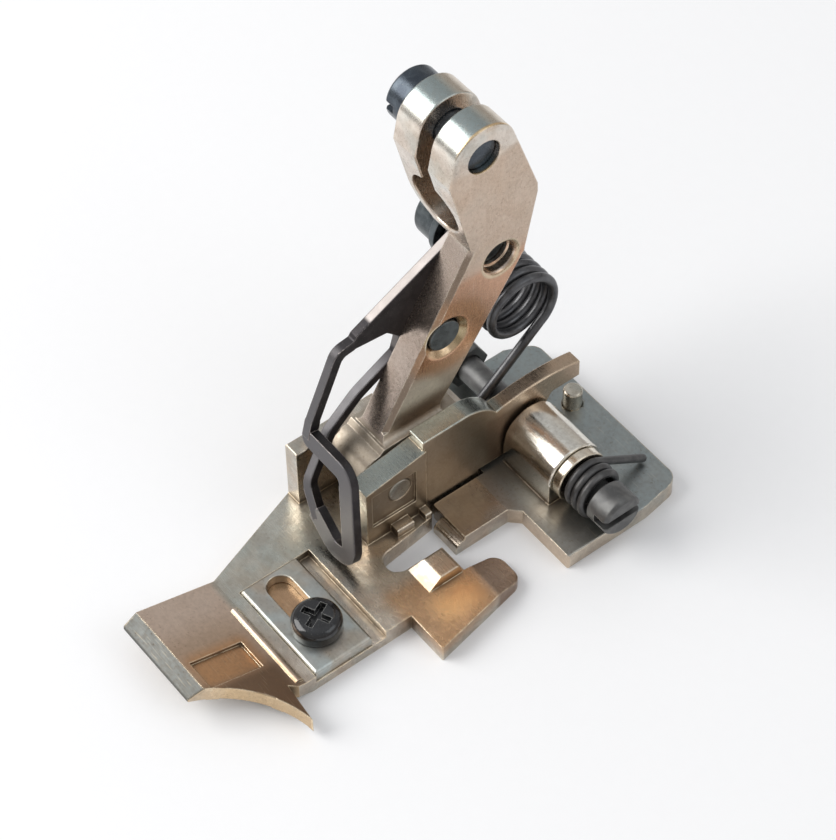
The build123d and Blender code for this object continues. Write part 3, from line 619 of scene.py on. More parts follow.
@dataclass(frozen=True)
class Blackened:
    """Blackened or blued steel: a thin dark coat with a faint sheen, worn to bare metal along edges.

    Attributes:
        name: The material's name.
        coat: Colour of the coat.
        sheen: Colour where the coat catches light.
        bare: Colour of the metal under it.
        rough: Mean roughness.
        wear: How far the edges are worn.
        zones: Parts with a tint of their own, and parts with a painted sheen.
        metallic: Share of metal in the coat.
        oil: Weight of the clear film of oil on it.
    """

    name: str
    coat: Colour
    sheen: Colour
    bare: Colour
    rough: float = 0.38
    wear: float = 0.5
    zones: tuple[Zone, ...] = ()
    metallic: float = 0.75
    oil: float = 0.0

    CLOUD: ClassVar[Pattern] = Pattern(0.8, 4.0, 0.4, (0.3, 0.8), 0.8, 0.2)
    GRAIN: ClassVar[Pattern] = Pattern(14.0, 3.0, 0.0, (0.35, 0.6), rough=0.25)

    # Bare specks: values of the grain and amount
    SPECK_SPAN: ClassVar[Pair] = (0.66, 0.74)
    SPECK_AMOUNT: ClassVar[float] = 0.3
    # Worn edges: reach in millimetres, values of the edge mask and change of roughness
    EDGE_REACH: ClassVar[float] = 0.16
    EDGE_SPAN: ClassVar[Pair] = (0.03, 0.2)
    EDGE_ROUGH: ClassVar[float] = -0.12
    ROUGH_LIMITS: ClassVar[Pair] = (0.12, 0.8)
    BUMP_STRENGTH: ClassVar[float] = 0.3
    BUMP_DEPTH: ClassVar[float] = 0.02
    BUMP_ROUNDING: ClassVar[float] = 0.08

    def make(self) -> bpy.types.Material:
        """Build the material: the clouded coat, its zones, then worn edges and bare specks.

        Returns:
            The material.
        """
        recipe = Recipe(self.name)
        cloud = recipe.noise(self.CLOUD)
        grain = recipe.noise(self.GRAIN)
        gleam = cloud.step(*self.CLOUD.span) * self.CLOUD.amount
        colour = recipe.mix(gleam, self.coat, self.sheen)
        for zone in self.zones:
            colour = recipe.mix(zone.mask(recipe), colour, zone.tint)
        worn = recipe.edge(self.EDGE_REACH).step(*self.EDGE_SPAN)
        worn = worn * grain.step(*self.GRAIN.span) * self.wear
        colour = recipe.mix(worn, colour, self.bare)
        colour = recipe.mix(grain.step(*self.SPECK_SPAN) * self.SPECK_AMOUNT, colour, self.bare)
        rough = self.rough + (cloud - NOISE_MEAN) * self.CLOUD.rough
        rough = rough + (grain - NOISE_MEAN) * self.GRAIN.rough + worn * self.EDGE_ROUGH
        return recipe.cover(
            {
                "Base Color": colour,
                "Roughness": rough.kept(*self.ROUGH_LIMITS),
                "Metallic": self.metallic,
                "Coat Weight": self.oil,
                "Normal": recipe.bump(
                    grain, self.BUMP_STRENGTH, self.BUMP_DEPTH, self.BUMP_ROUNDING
                ),
            }
        )


@dataclass(frozen=True)
class Paper:
    """The pale floor with a faint grain.

    Attributes:
        name: The material's name.
        colour: Its colour.
        shade: Brightness of the grain's darker spots as a share of the colour.
        rough: Its roughness.
        bump_strength: Share of the grain's relief that shows.
        bump_depth: Depth of that relief in millimetres.
    """

    name: str = "pale_floor"
    colour: Colour = (0.91, 0.91, 0.92)
    shade: float = 0.97
    rough: float = 0.75
    bump_strength: float = 0.1
    bump_depth: float = 0.05

    GRAIN: ClassVar[Pattern] = Pattern(0.7, 4.0, amount=0.5)

    def make(self) -> bpy.types.Material:
        """Build the material."""
        recipe = Recipe(self.name)
        grain = recipe.noise(self.GRAIN)
        darker = tuple(self.shade * part for part in self.colour)
        return recipe.cover(
            {
                "Base Color": recipe.mix(grain * self.GRAIN.amount, self.colour, darker),
                "Roughness": self.rough,
                "Normal": recipe.bump(grain, self.bump_strength, self.bump_depth),
            }
        )


def grid_faces(rows: int, columns: int, around: bool) -> np.ndarray:
    """Quads of a grid of points.

    Args:
        rows: Points along the first parameter.
        columns: Points along the second parameter.
        around: Whether the second parameter closes on itself.

    Returns:
        Point numbers of each quad, one row per quad.
    """
    across = columns if around else columns - 1
    row, column = np.meshgrid(np.arange(rows - 1), np.arange(across), indexing="ij")
    here, ahead = column, (column + 1) % columns
    low, high = row * columns, (row + 1) * columns
    quad = (low + here, low + ahead, high + ahead, high + here)
    return np.stack([point.ravel() for point in quad], axis=1)


def surface(name: str, points: np.ndarray, flip: bool = False) -> bpy.types.Object:
    """A tube of rings, closed at both ends, as a smooth-shaded object.

    Args:
        name: The object's name.
        points: Places in millimetres, one row per ring and one column per point of the ring.
        flip: Whether the faces are turned round.

    Returns:
        The object, linked to the scene.
    """
    rings, sides = points.shape[:2]
    first = np.arange(sides)
    last = first + (rings - 1) * sides
    faces = [*grid_faces(rings, sides, True).tolist(), first[::-1].tolist(), last.tolist()]
    if flip:
        faces = [face[::-1] for face in faces]
    mesh = bpy.data.meshes.new(name)
    mesh.from_pydata((points.reshape(-1, 3) * MM).tolist(), [], faces)
    mesh.update()
    piece = bpy.data.objects.new(name, mesh)
    bpy.context.scene.collection.objects.link(piece)
    mesh.polygons.foreach_set("use_smooth", np.ones(len(mesh.polygons), dtype=bool))
    mesh.set_sharp_from_angle(angle=math.radians(ROUND_TURN))
    return piece


def unit(vectors: np.ndarray) -> np.ndarray:
    """Vectors divided by their lengths."""
    return vectors / np.linalg.norm(vectors, axis=-1, keepdims=True)


def tube(path: np.ndarray, radius: float, sides: int = WIRE_SIDES) -> np.ndarray:
    """A round wire along a path, with ends rounded off.

    Each ring stands across the path's tangent. Its first direction is the X axis with the part along
    the tangent taken away, its second is the tangent turned a quarter about the first. At both ends
    two more rings stand close to the last one, which is the smallest.

    Args:
        path: Points of the wire's middle in millimetres.
        radius: The wire's radius.
        sides: Points of a ring.

    Returns:
        Places of the rings' points.
    """
    lip = radius * np.array(LIP_PLACES)[:, None]
    head = path[0] + lip * unit(path[1] - path[0])
    tail = path[-1] - lip[::-1] * unit(path[-1] - path[-2])
    path = np.concatenate([path[:1], head, path[1:-1], tail, path[-1:]])
    run = unit(np.gradient(path, axis=0))
    first = unit(np.array(RIGHT) - run[:, :1] * run)
    second = np.cross(run, first)
    size = np.ones(len(path))
    size[:2], size[-2:] = LIP_SIZES, LIP_SIZES[::-1]
    turn = np.linspace(0, 2 * math.pi, sides, endpoint=False)[None, :, None]
    ring = first[:, None] * np.cos(turn) + second[:, None] * np.sin(turn)
    return path[:, None] + radius * size[:, None, None] * ring


def thread(centre: Pair, span: Pair, pitch: float, root: float, crest: float) -> np.ndarray:
    """A thread ridge: a triangle carried along a helix about an axis along X.

    The ridge rises from the root radius to the crest radius, and fades into the root at both ends.

    Args:
        centre: Y and Z of the axis.
        span: Lowest and highest X.
        pitch: Advance of one turn.
        root: Radius of the ridge's foot.
        crest: Radius of its top.

    Returns:
        Places of the section's points along the helix.
    """
    turns = (span[1] - span[0]) / pitch - 2 * THREAD_MARGIN
    along = np.linspace(0, 1, int(THREAD_STEPS * turns))
    angle = 2 * math.pi * turns * along[:, None]
    from_end = np.minimum(along, 1 - along) * turns
    fade = np.clip(from_end * THREAD_FADES, THREAD_LEAST, 1)[:, None]
    x = span[0] + THREAD_MARGIN * pitch + turns * pitch * along[:, None]
    shift = np.array([-THREAD_HALF, 0.0, THREAD_HALF]) * pitch
    height = root + (crest - root) * fade * np.array([0.0, 1.0, 0.0])
    y = centre[0] + height * np.cos(angle)
    z = centre[1] + height * np.sin(angle)
    return np.stack([x + shift * fade, y, z], axis=2)


def arc(centre: Pair, radius: float, x_span: Pair, angles: Pair) -> np.ndarray:
    """A coil about an axis along X: a circle whose X grows with the angle.

    Args:
        centre: Y and Z of the axis.
        radius: The coil's radius.
        x_span: X at the start and at the end.
        angles: Start and end angle in degrees from +Y towards +Z.

    Returns:
        Points along the coil.
    """
    share = np.linspace(0, 1, int(abs(angles[1] - angles[0]) / COIL_STEP) + 2)
    turn = np.radians(angles[0] + (angles[1] - angles[0]) * share)
    x = x_span[0] + (x_span[1] - x_span[0]) * share
    y = centre[0] + radius * np.cos(turn)
    z = centre[1] + radius * np.sin(turn)
    return np.stack([x, y, z], axis=1)


def line(start: np.ndarray, end: np.ndarray, spacing: float = 0.5) -> np.ndarray:
    """Points along a straight run, without its start.

    Args:
        start: First point.
        end: Last point.
        spacing: Distance between points.

    Returns:
        Points along the run.
    """
    count = max(2, int(np.linalg.norm(end - start) / spacing))
    return start + (end - start) * np.linspace(0, 1, count + 1)[1:, None]


def within(places: np.ndarray, box: Box) -> np.ndarray:
    """Which places in millimetres are inside a box."""
    return np.all((places >= box[0]) & (places <= box[1]), axis=-1)


def joined(mesh: bpy.types.Mesh) -> None:
    """Join a solid's loose triangles into flat faces, each split again where it is not convex."""
    work = bmesh.new()
    work.from_mesh(mesh)
    bmesh.ops.remove_doubles(work, verts=work.verts, dist=SAME_PLACE)
    bmesh.ops.dissolve_degenerate(work, edges=work.edges, dist=NO_LENGTH)
    bmesh.ops.dissolve_limit(
        work, angle_limit=math.radians(SAME_PLANE), verts=work.verts, edges=work.edges
    )
    bmesh.ops.connect_verts_concave(work, faces=work.faces)
    turn = work.edges.layers.float.new("turn")
    for edge in work.edges:
        edge[turn] = math.degrees(edge.calc_face_angle(0.0))
    work.to_mesh(mesh)
    work.free()
    if mesh.has_custom_normals:
        mesh.normals_split_custom_set([(0, 0, 0)] * len(mesh.loops))


def read(items: Any, key: str, width: int = 1, kind: type = float) -> np.ndarray:
    """Read one property of all items of a mesh.

    Args:
        items: The mesh's vertices, edges, polygons or the like.
        key: The property.
        width: Numbers of each item.
        kind: Type of the numbers.

    Returns:
        One row per item, or one number where the width is 1.
    """
    flat = np.zeros(len(items) * width, dtype=kind)
    items.foreach_get(key, flat)
    return flat if width == 1 else flat.reshape(-1, width)


def spoiled(piece: bpy.types.Object, width: float) -> np.ndarray:
    """Where the rounding has turned a face over or pushed it out of the solid.

    Each rounded face remembers the flat face that it comes from. A triangle is spoiled if it looks
    against that face's normal, or if a corner stands above that face's plane by more than half the
    rounding.

    Args:
        piece: The piece with its rounding.
        width: Width of the rounding in millimetres.

    Returns:
        Corners of the spoiled triangles in millimetres.
    """
    flat = piece.data
    graph = bpy.context.evaluated_depsgraph_get()
    graph.update()
    shown = piece.evaluated_get(graph)
    mesh = shown.to_mesh()
    places = read(mesh.vertices, "co", 3) / MM
    triangles = places[read(mesh.loop_triangles, "vertices", 3, int)]
    source = read(mesh.attributes["source"].data, "value", 1, int)
    source = source[read(mesh.loop_triangles, "polygon_index", 1, int)]
    shown.to_mesh_clear()
    normal = read(flat.polygons, "normal", 3)[source]
    middle = read(flat.polygons, "center", 3)[source] / MM
    first, second, third = (triangles[:, corner] for corner in range(3))
    across = np.cross(second - first, third - first)
    area = np.linalg.norm(across, axis=1)
    over = np.sum(across * normal, axis=1) < TURNED_OVER * area
    rise = np.sum((triangles - middle[:, None]) * normal[:, None], axis=2).max(axis=1)
    risen = rise > RISEN_WIDTHS * width
    return triangles[(area > LEAST_AREA) & (over | risen)].reshape(-1, 3)


def shade(mesh: bpy.types.Mesh) -> None:
    """Give a rounded mesh its normals, flat on flat faces and smooth on round ones.

    A corner's normal is the mean of the normals of the faces around its point, weighted by their
    areas. A face counts if it turns less than 10 degrees from the corner's own face, or 40 where one
    is a rounding.

    Args:
        mesh: The mesh, whose roundings have the second material's number.
    """
    vertex = read(mesh.loops, "vertex_index", 1, int)
    corners_of_face = read(mesh.polygons, "loop_total", 1, int)
    face = np.repeat(np.arange(len(mesh.polygons)), corners_of_face)
    normal = read(mesh.polygons, "normal", 3)
    area = read(mesh.polygons, "area")
    strip = read(mesh.polygons, "material_index", 1, int) == 1
    # Pair each face corner with every face corner at the same point
    order = np.argsort(vertex, kind="stable")
    around = np.bincount(vertex)
    repeats = around[vertex[order]]
    own = np.repeat(order, repeats)
    place = np.arange(len(own)) - np.repeat(np.cumsum(repeats) - repeats, repeats)
    other = order[(np.cumsum(around) - around)[vertex[own]] + place]
    first, second = face[own], face[other]
    flat_limit, round_limit = (math.cos(math.radians(turn)) for turn in (FLAT_TURN, ROUND_TURN))
    limit = np.where(strip[first] | strip[second], round_limit, flat_limit)
    counts = np.sum(normal[first] * normal[second], axis=1) > limit
    total = np.zeros((len(vertex), 3))
    np.add.at(total, own, (area[second] * counts)[:, None] * normal[second])
    total /= np.maximum(np.linalg.norm(total, axis=1, keepdims=True), 1e-12)
    mesh.polygons.foreach_set("material_index", np.zeros(len(mesh.polygons), dtype=int))
    mesh.polygons.foreach_set("use_smooth", np.ones(len(mesh.polygons), dtype=bool))
    mesh.normals_split_custom_set(total.tolist())


def softened(
    frame: Mapping[str, Any], node: str, width: float, crisp: Sequence[Box] = ()
) -> bpy.types.Object:
    """A copy of a solid with its facets joined and its edges rounded.

    Edges that turn by more than 32 degrees are rounded. Where the rounding of neighbouring edges
    would run into each other, the edges stay as they are.

    Args:
        frame: The loaded frame.
        node: The solid's name.
        width: Width of the rounding in millimetres.
        crisp: Boxes in millimetres whose edges stay as they are.

    Returns:
        The copy, which stands for the solid.
    """
    mesh = frame["nodes"][node].data.copy()
    mesh.name = f"{node}_finished"
    mesh.materials.clear()
    joined(mesh)
    source = mesh.attributes.new("source", "INT", "FACE")
    source.data.foreach_set("value", np.arange(len(mesh.polygons)))
    piece = bpy.data.objects.new(mesh.name, mesh)
    bpy.context.scene.collection.objects.link(piece)
    places = read(mesh.vertices, "co", 3) / MM
    ends = read(mesh.edges, "vertices", 2, int)
    weights = (read(mesh.attributes["turn"].data, "value") > LEAST_TURN).astype(float)
    for box in crisp:
        weights[within(places[ends], box).any(axis=1)] = 0.0
    rounding = piece.modifiers.new("rounding", "BEVEL")
    rounding.width = width * MM
    rounding.segments = ROUNDING_SEGMENTS
    rounding.limit_method = "WEIGHT"
    rounding.use_clamp_overlap = False
    rounding.miter_outer = "MITER_ARC"
    rounding.material = 1
    layer = mesh.attributes.new("bevel_weight_edge", "FLOAT", "EDGE")
    for _ in range(ROUNDING_TRIES):
        layer.data.foreach_set("value", weights)
        mesh.update()
        piece.update_tag()
        marks = spoiled(piece, width)
        if not len(marks):
            break
        gaps = np.linalg.norm(places[:, None] - marks[None], axis=2).min(axis=1)
        near = gaps < CLEARED_WIDTHS * width
        weights[near[ends].any(axis=1)] = 0.0
    shown = piece.evaluated_get(bpy.context.evaluated_depsgraph_get())
    piece.data = bpy.data.meshes.new_from_object(shown)
    piece.modifiers.clear()
    shade(piece.data)
    LOG.info("%s: %d of %d edges rounded", node, int(weights.sum()), len(weights))
    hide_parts(node)
    return piece


def settle(piece: bpy.types.Object, body: Body, finish: bpy.types.Material) -> None:
    """Give a piece its finish and the body it rides on.

    Args:
        piece: The piece.
        body: The body that carries it.
        finish: The material.
    """
    piece.data.materials.clear()
    piece.data.materials.append(finish)
    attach(piece, body.value)
    LOG.info("%s rides on %s", piece.name, body.value)


@dataclass
class FrontSole:
    """The front sole with its hinge pin."""

    rounding: float = 0.16
    pin_rounding: float = 0.15
    pin_steel: Nickel = Nickel(
        "pin_steel", (0.5, 0.46, 0.4), (0.3, 0.27, 0.23), (0.8, 0.72, 0.6), 0.3, Axis.X
    )

    def finish(self) -> Nickel:
        """The sole's plating, golden on the plate and bronze on the toe, with a painted dark reflection
        on the wall's right face, painted shade beside the barrel and a painted golden highlight on the
        finger.
        """
        horn_front = (0.3, -0.95, 0.0)
        bevel_front = (0.0, -0.8, 0.6)
        zones = (
            # Cool left part of the plate
            Zone((-6.0, -19.0, 1.8), (5.0, -5.0, 2.6), (0.4, 0.46, 0.43), 0.8, 1.5, UP),
            # Floor of the pocket below the slide's slot
            Zone((2.4, -15.4, 0.8), (12.0, -12.2, 1.4), (0.5, 0.29, 0.15), 0.85, 0.15, UP),
            # Toe, then its browner right part
            Zone((-2.0, -30.0, 1.0), (20.0, -18.8, 8.0), (0.7, 0.55, 0.45), 0.9, 0.5, UP, 0.08),
            Zone((4.0, -30.0, 1.0), (20.0, -18.8, 8.0), (0.5, 0.35, 0.24), 0.75, 2.2, UP),
            # Dark top of the horn and its golden front edge
            Zone((10.4, -30.0, -1.0), (20.0, -18.8, 8.0), (0.2, 0.12, 0.07), 0.85, 1.2, UP),
            Zone((8.0, -30.0, -1.0), (20.0, -18.8, 8.0), (0.7, 0.5, 0.28), 0.8, 0.4, horn_front),
            # Copper channel of the toe
            Zone((6.6, -26.6, 1.0), (10.6, -20.0, 8.0), (0.6, 0.32, 0.15), 0.85, 0.9, UP),
            # Grey bevel of the toe's front edge
            Zone(
                (-2.0, -29.5, -1.0),
                (12.0, -26.9, 8.0),
                (0.12, 0.132, 0.13),
                0.95,
                0.2,
                bevel_front,
                0.2,
            ),
            # Brown finger, then a painted highlight: a golden glare on the finger's top, then a dark tip
            Zone((11.0, -7.0, 1.0), (20.0, 2.0, 3.0), (0.5, 0.31, 0.17), 0.85, 1.0),
            Zone((14.2, -3.8, 1.0), (17.2, 1.0, 3.0), (0.95, 0.62, 0.32), 0.85, 1.3, UP, -0.08),
            Zone((11.0, 2.0, -1.0), (20.0, 6.0, 3.0), (0.3, 0.19, 0.13), 0.85, 0.3),
            # Painted reflection: dark brown on the wall's right face, mirroring the shaded parts beside
            # it
            Zone((2.0, -5.0, 2.2), (6.0, 12.5, 14.0), (0.25, 0.185, 0.12), 0.85, 0.4, RIGHT, 0.1),
            # Copper tail of the wall, then painted shade: a dark patch on the wall's right face beside
            # the barrel
            Zone((3.0, 11.8, 2.0), (6.0, 24.0, 12.0), (0.5, 0.36, 0.25), 0.8, 0.4),
            Zone((3.0, 10.5, 2.0), (6.0, 15.0, 9.0), (0.22, 0.15, 0.1), 0.8, 0.6, RIGHT, 0.15),
            # Cool crest of the wall
            Zone((2.0, -5.0, 8.0), (6.0, 12.5, 14.0), (0.4, 0.45, 0.42), 0.85, 0.4, UP),
        )
        light, dark, edge_tint = (0.7, 0.63, 0.54), (0.5, 0.43, 0.36), (0.95, 0.8, 0.58)
        return Nickel("sole_nickel", light, dark, edge_tint, 0.28, Axis.X, zones)

    def build(self, frame: Mapping[str, Any]) -> None:
        """Show the sole and its pin."""
        plating = self.finish().make()
        settle(softened(frame, "front_sole", self.rounding), Body.FRONT, plating)
        steel = self.pin_steel.make()
        settle(softened(frame, "hinge_pin", self.pin_rounding), Body.FRONT, steel)


@dataclass
class Guide:
    """The guide slide and its screw."""

    rounding: float = 0.12
    screw_rounding: float = 0.07
    plating: Nickel = Nickel(
        "slide_nickel",
        (0.52, 0.54, 0.52),
        (0.42, 0.4, 0.36),
        (0.95, 0.84, 0.64),
        0.36,
        Axis.X,
        edge_amount=1.0,
    )
    black: Blackened = Blackened(
        "guide_screw_black",
        (0.006, 0.006, 0.007),
        (0.016, 0.017, 0.019),
        (0.7, 0.69, 0.66),
        0.12,
        0.8,
        metallic=0.3,
        oil=0.6,
    )

    def build(self, frame: Mapping[str, Any]) -> None:
        """Show the slide and the screw."""
        plating = self.plating.make()
        settle(softened(frame, "guide_slide", self.rounding), Body.GUIDE, plating)
        black = self.black.make()
        settle(softened(frame, "guide_screw", self.screw_rounding), Body.FRONT, black)


@dataclass
class Shank:
    """The shank with its clamp and clamp screw."""

    rounding: float = 0.18
    screw_rounding: float = 0.12
    upper_hole: Pair = (14.711, 26.865)
    lower_hole: Pair = (8.364, 20.115)
    hole_radius: float = 1.78
    thread_span: Pair = (-0.05, 1.0)
    thread_foot: float = 0.02
    thread_height: float = 0.2
    pitch: float = 0.42
    flare: Box = ((-4.0, -4.0, 10.4), (4.0, 12.0, 11.7))
    blue: Blackened = Blackened(
        "clamp_screw_blue", (0.045, 0.055, 0.07), (0.1, 0.12, 0.14), (0.5, 0.5, 0.5), 0.26
    )

    def finish(self) -> Nickel:
        """The shank's plating, with painted reflections: warm on its right side, dull in front and cool
        on the lobes' tops.
        """
        front = (0.0, -0.87, 0.49)
        chamfer_shade_facing = (0.7, -0.62, 0.35)
        reflecting_lobe_back = (0.0, 0.71, 0.7)
        lobes = ((-8.0, 6.0, 36.0), (3.0, 22.0, 50.0))
        zones = (
            # Painted reflections on the right faces: the arm's right side, copper further up, and the
            # clamp's right side
            Zone((-3.0, -5.0, 8.0), (3.0, 16.0, 17.0), (0.62, 0.51, 0.41), 0.85, 1.5, RIGHT, 0.1),
            Zone((-3.0, -5.0, 17.0), (3.0, 20.0, 27.5), (0.64, 0.34, 0.2), 0.85, 1.5, RIGHT),
            Zone((-8.0, 8.0, 27.0), (3.0, 20.0, 41.0), (0.6, 0.45, 0.34), 0.75, 0.8, RIGHT),
            # Painted reflection: the dull front of the arm; painted shade: the dark line along its front
            # right chamfer
            Zone((-3.0, -5.0, 8.0), (3.0, 16.0, 30.0), (0.42, 0.34, 0.29), 0.85, 0.6, front),
            Zone(
                (-3.0, -5.0, 8.0),
                (3.0, 16.0, 29.5),
                (0.2, 0.15, 0.11),
                0.85,
                0.4,
                chamfer_shade_facing,
                spread=(0.9, 0.98),
            ),
            # Painted reflections: the cool tops of the clamp's lobes and their paler backs; then the
            # golden rim of the right one
            Zone(*lobes, (0.32, 0.4, 0.41), 0.85, 0.4, UP),
            Zone(*lobes, (0.74, 0.64, 0.52), 0.85, 0.4, reflecting_lobe_back, spread=(0.75, 1.0)),
            Zone((1.45, 6.0, 36.0), (3.0, 22.0, 50.0), (0.8, 0.52, 0.22), 0.75, 0.12, UP),
            # Dull foot
            Zone((-3.0, -4.5, 2.0), (3.0, 12.0, 11.0), (0.4, 0.35, 0.28), 0.8, 0.4, rough=0.25),
            # Blush round the lower hole, then both countersinks
            Ring(self.lower_hole, 2.4, 4.6, (0.52, 0.25, 0.1), 0.55, 0.8),
            Ring(self.lower_hole, 1.7, 2.45, (0.6, 0.5, 0.28), 0.9),
            Ring(self.upper_hole, 1.7, 2.3, (0.66, 0.56, 0.4), 0.8),
        )
        light, dark, edge_tint = (0.78, 0.7, 0.62), (0.6, 0.52, 0.45), (0.96, 0.86, 0.72)
        return Nickel("shank_nickel", light, dark, edge_tint, 0.26, Axis.Z, zones)

    def build(self, frame: Mapping[str, Any]) -> None:
        """Show the shank, the thread in its upper hole and the clamp screw."""
        plating = self.finish().make()
        shank = softened(frame, "shank_arm", self.rounding, [self.flare])
        settle(shank, Body.ARM, plating)
        root, crest = self.hole_radius + self.thread_foot, self.hole_radius - self.thread_height
        helix = thread(self.upper_hole, self.thread_span, self.pitch, root, crest)
        settle(surface("upper_hole_thread", helix, flip=True), Body.ARM, plating)
        blue = self.blue.make()
        settle(softened(frame, "clamp_screw", self.screw_rounding), Body.ARM, blue)


@dataclass
class FingerGuard:
    """The finger guard with its two screws and the washer."""

    rounding: float = 0.12
    upper_rounding: float = 0.14
    lower_rounding: float = 0.12
    washer_rounding: float = 0.1
    weld: Box = ((-1.0, -9.0, 3.0), (2.6, -5.0, 7.0))
    black: Blackened = Blackened(
        "guard_screw_black", (0.05, 0.06, 0.065), (0.14, 0.16, 0.17), (0.55, 0.55, 0.53), 0.3
    )

    def finish(self) -> Blackened:
        """The guard's black coat, with a painted sheen on the strands' fronts and a pale front edge on
        the plate, bare metal there with a painted highlight.
        """
        strand_sheen_facing = (0.2, -0.75, 0.6)
        plate_edge_highlight_facing = (0.0, -0.6, 0.8)
        zones = (
            # Painted sheen: paler grey on the strands' faces that look forward and up, where they catch
            # the light
            Zone(
                (-4.0, -10.0, 2.0), (9.0, 3.5, 22.0), (0.14, 0.135, 0.14), 0.8, 1.5, strand_sheen_facing
            ),
            # Pale front edge of the plate: bare metal, with a painted highlight where it faces forward
            # and up
            Zone(
                (-3.2, 2.0, 18.0),
                (-1.2, 20.0, 32.0),
                (0.42, 0.38, 0.36),
                0.85,
                0.2,
                plate_edge_highlight_facing,
                spread=(0.7, 0.95),
            ),
        )
        coat, sheen, bare = (0.018, 0.016, 0.018), (0.05, 0.044, 0.046), (0.74, 0.66, 0.62)
        return Blackened("guard_oxide", coat, sheen, bare, 0.4, 0.9, zones, 0.7)

    def build(self, frame: Mapping[str, Any]) -> None:
        """Show the guard and what holds it."""
        oxide = self.finish().make()
        guard = softened(frame, "finger_guard", self.rounding, [self.weld])
        settle(guard, Body.ARM, oxide)
        black = self.black.make()
        for node, rounding in (
            ("guard_screw_upper", self.upper_rounding),
            ("guard_screw_lower", self.lower_rounding),
            ("guard_washer", self.washer_rounding),
        ):
            settle(softened(frame, node, rounding), Body.ARM, black)


@dataclass
class TiltSpring:
    """The black torsion spring between the arm and the rear hinge."""

    eye: Pair = (14.711, 26.865)
    eye_x: float = -3.16
    eye_radius: float = 2.35
    eye_wrap: float = 270.0
    straight: float = 4.2
    coil: Pair = (19.0, 15.4)
    coil_radius: float = 3.6
    coil_turns: float = 4.0
    pitch: float = 1.08
    hinge: Pair = (15.6, 5.0)
    hinge_radius: float = 1.95
    overhang: float = 1.2
    wire_radius: float = 0.5
    steel: Blackened = Blackened(
        "spring_steel_black", (0.08, 0.08, 0.085), (0.16, 0.16, 0.165), (0.4, 0.4, 0.4), 0.32, 0.2
    )

    def path(self) -> np.ndarray:
        """The wire's middle: eye, straight run, coil and lower leg, each tangent to the next.

        Returns:
            Points of the path in millimetres.
        """
        run = np.subtract(self.coil, self.eye)
        lean = math.acos((self.eye_radius - self.coil_radius) / np.linalg.norm(run))
        leave = math.atan2(run[1], run[0]) + lean
        fall = np.subtract(self.hinge, self.coil)
        reach = self.coil_radius + self.hinge_radius
        end = math.atan2(fall[1], fall[0]) + math.acos(reach / np.linalg.norm(fall))
        left = self.eye_x - self.pitch
        right = left + self.pitch * (self.coil_turns + (leave - end) / (2 * math.pi))
        start = math.degrees(leave)
        eye = arc(
            self.eye, self.eye_radius, (self.eye_x, self.eye_x), (start + self.eye_wrap, start)
        )
        knee = eye[-1] + self.straight * np.array([0.0, math.sin(leave), -math.cos(leave)])
        stop = math.degrees(end) - FULL_TURN * self.coil_turns
        turns = arc(self.coil, self.coil_radius, (left, right), (start, stop))
        length = math.sqrt(float(fall @ fall) - reach**2) + self.overhang
        tip = turns[-1] + length * np.array([0.0, math.sin(end), -math.cos(end)])
        leg = line(eye[-1], knee)
        into_coil = line(leg[-1], turns[0])[:-1]
        return np.concatenate([eye, leg, into_coil, turns, line(turns[-1], tip)])

    def build(self) -> None:
        """Show the spring as a round wire."""
        wire = surface("tilt_spring_wire", tube(self.path(), self.wire_radius))
        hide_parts("tilt_spring")
        settle(wire, Body.ARM, self.steel.make())


@dataclass
class RearSole:
    """The rear sole with its stop peg."""

    rounding: float = 0.2
    peg_rounding: float = 0.08
    peg_steel: Nickel = Nickel(
        "peg_steel", (0.7, 0.64, 0.55), (0.5, 0.44, 0.36), (0.95, 0.85, 0.7), 0.2, Axis.Z
    )

    def finish(self) -> Nickel:
        """The rear sole's plating, cool on its plate and mirror-bright on its barrel."""
        front = (0.5, -0.85, 0.0)
        zones = (
            # Cool top of the plate, brown in front of the barrel and warm at the front right corner
            Zone((-7.0, 9.0, 1.8), (19.0, 25.0, 2.2), (0.27, 0.315, 0.325), 0.85, 0.2, UP, 0.22),
            Zone((4.0, 9.5, 1.8), (13.0, 12.5, 2.2), (0.34, 0.25, 0.18), 0.7, 1.0, UP),
            Zone((11.5, 9.0, 1.8), (19.0, 14.5, 2.2), (0.5, 0.39, 0.29), 0.85, 1.6, UP),
            # Warm front edge of the plate
            Zone((-7.0, 9.0, -1.0), (19.0, 25.0, 1.9), (0.62, 0.5, 0.38), 0.8, 0.2, front),
            # Brown tongue
            Zone((5.0, 3.0, 1.0), (11.0, 10.0, 2.4), (0.36, 0.28, 0.22), 0.7, 0.8),
            # Bright barrel
            Zone((5.0, 12.0, 2.4), (12.6, 19.0, 9.0), (0.8, 0.77, 0.7), 0.9, 0.3, rough=-0.02),
        )
        light, dark, edge_tint = (0.66, 0.58, 0.48), (0.48, 0.42, 0.36), (0.94, 0.82, 0.64)
        return Nickel("rear_nickel", light, dark, edge_tint, 0.2, Axis.X, zones)

    def build(self, frame: Mapping[str, Any]) -> None:
        """Show the rear sole and its peg."""
        plating = self.finish().make()
        settle(softened(frame, "rear_sole", self.rounding), Body.REAR, plating)
        steel = self.peg_steel.make()
        settle(softened(frame, "stop_peg", self.peg_rounding), Body.REAR, steel)


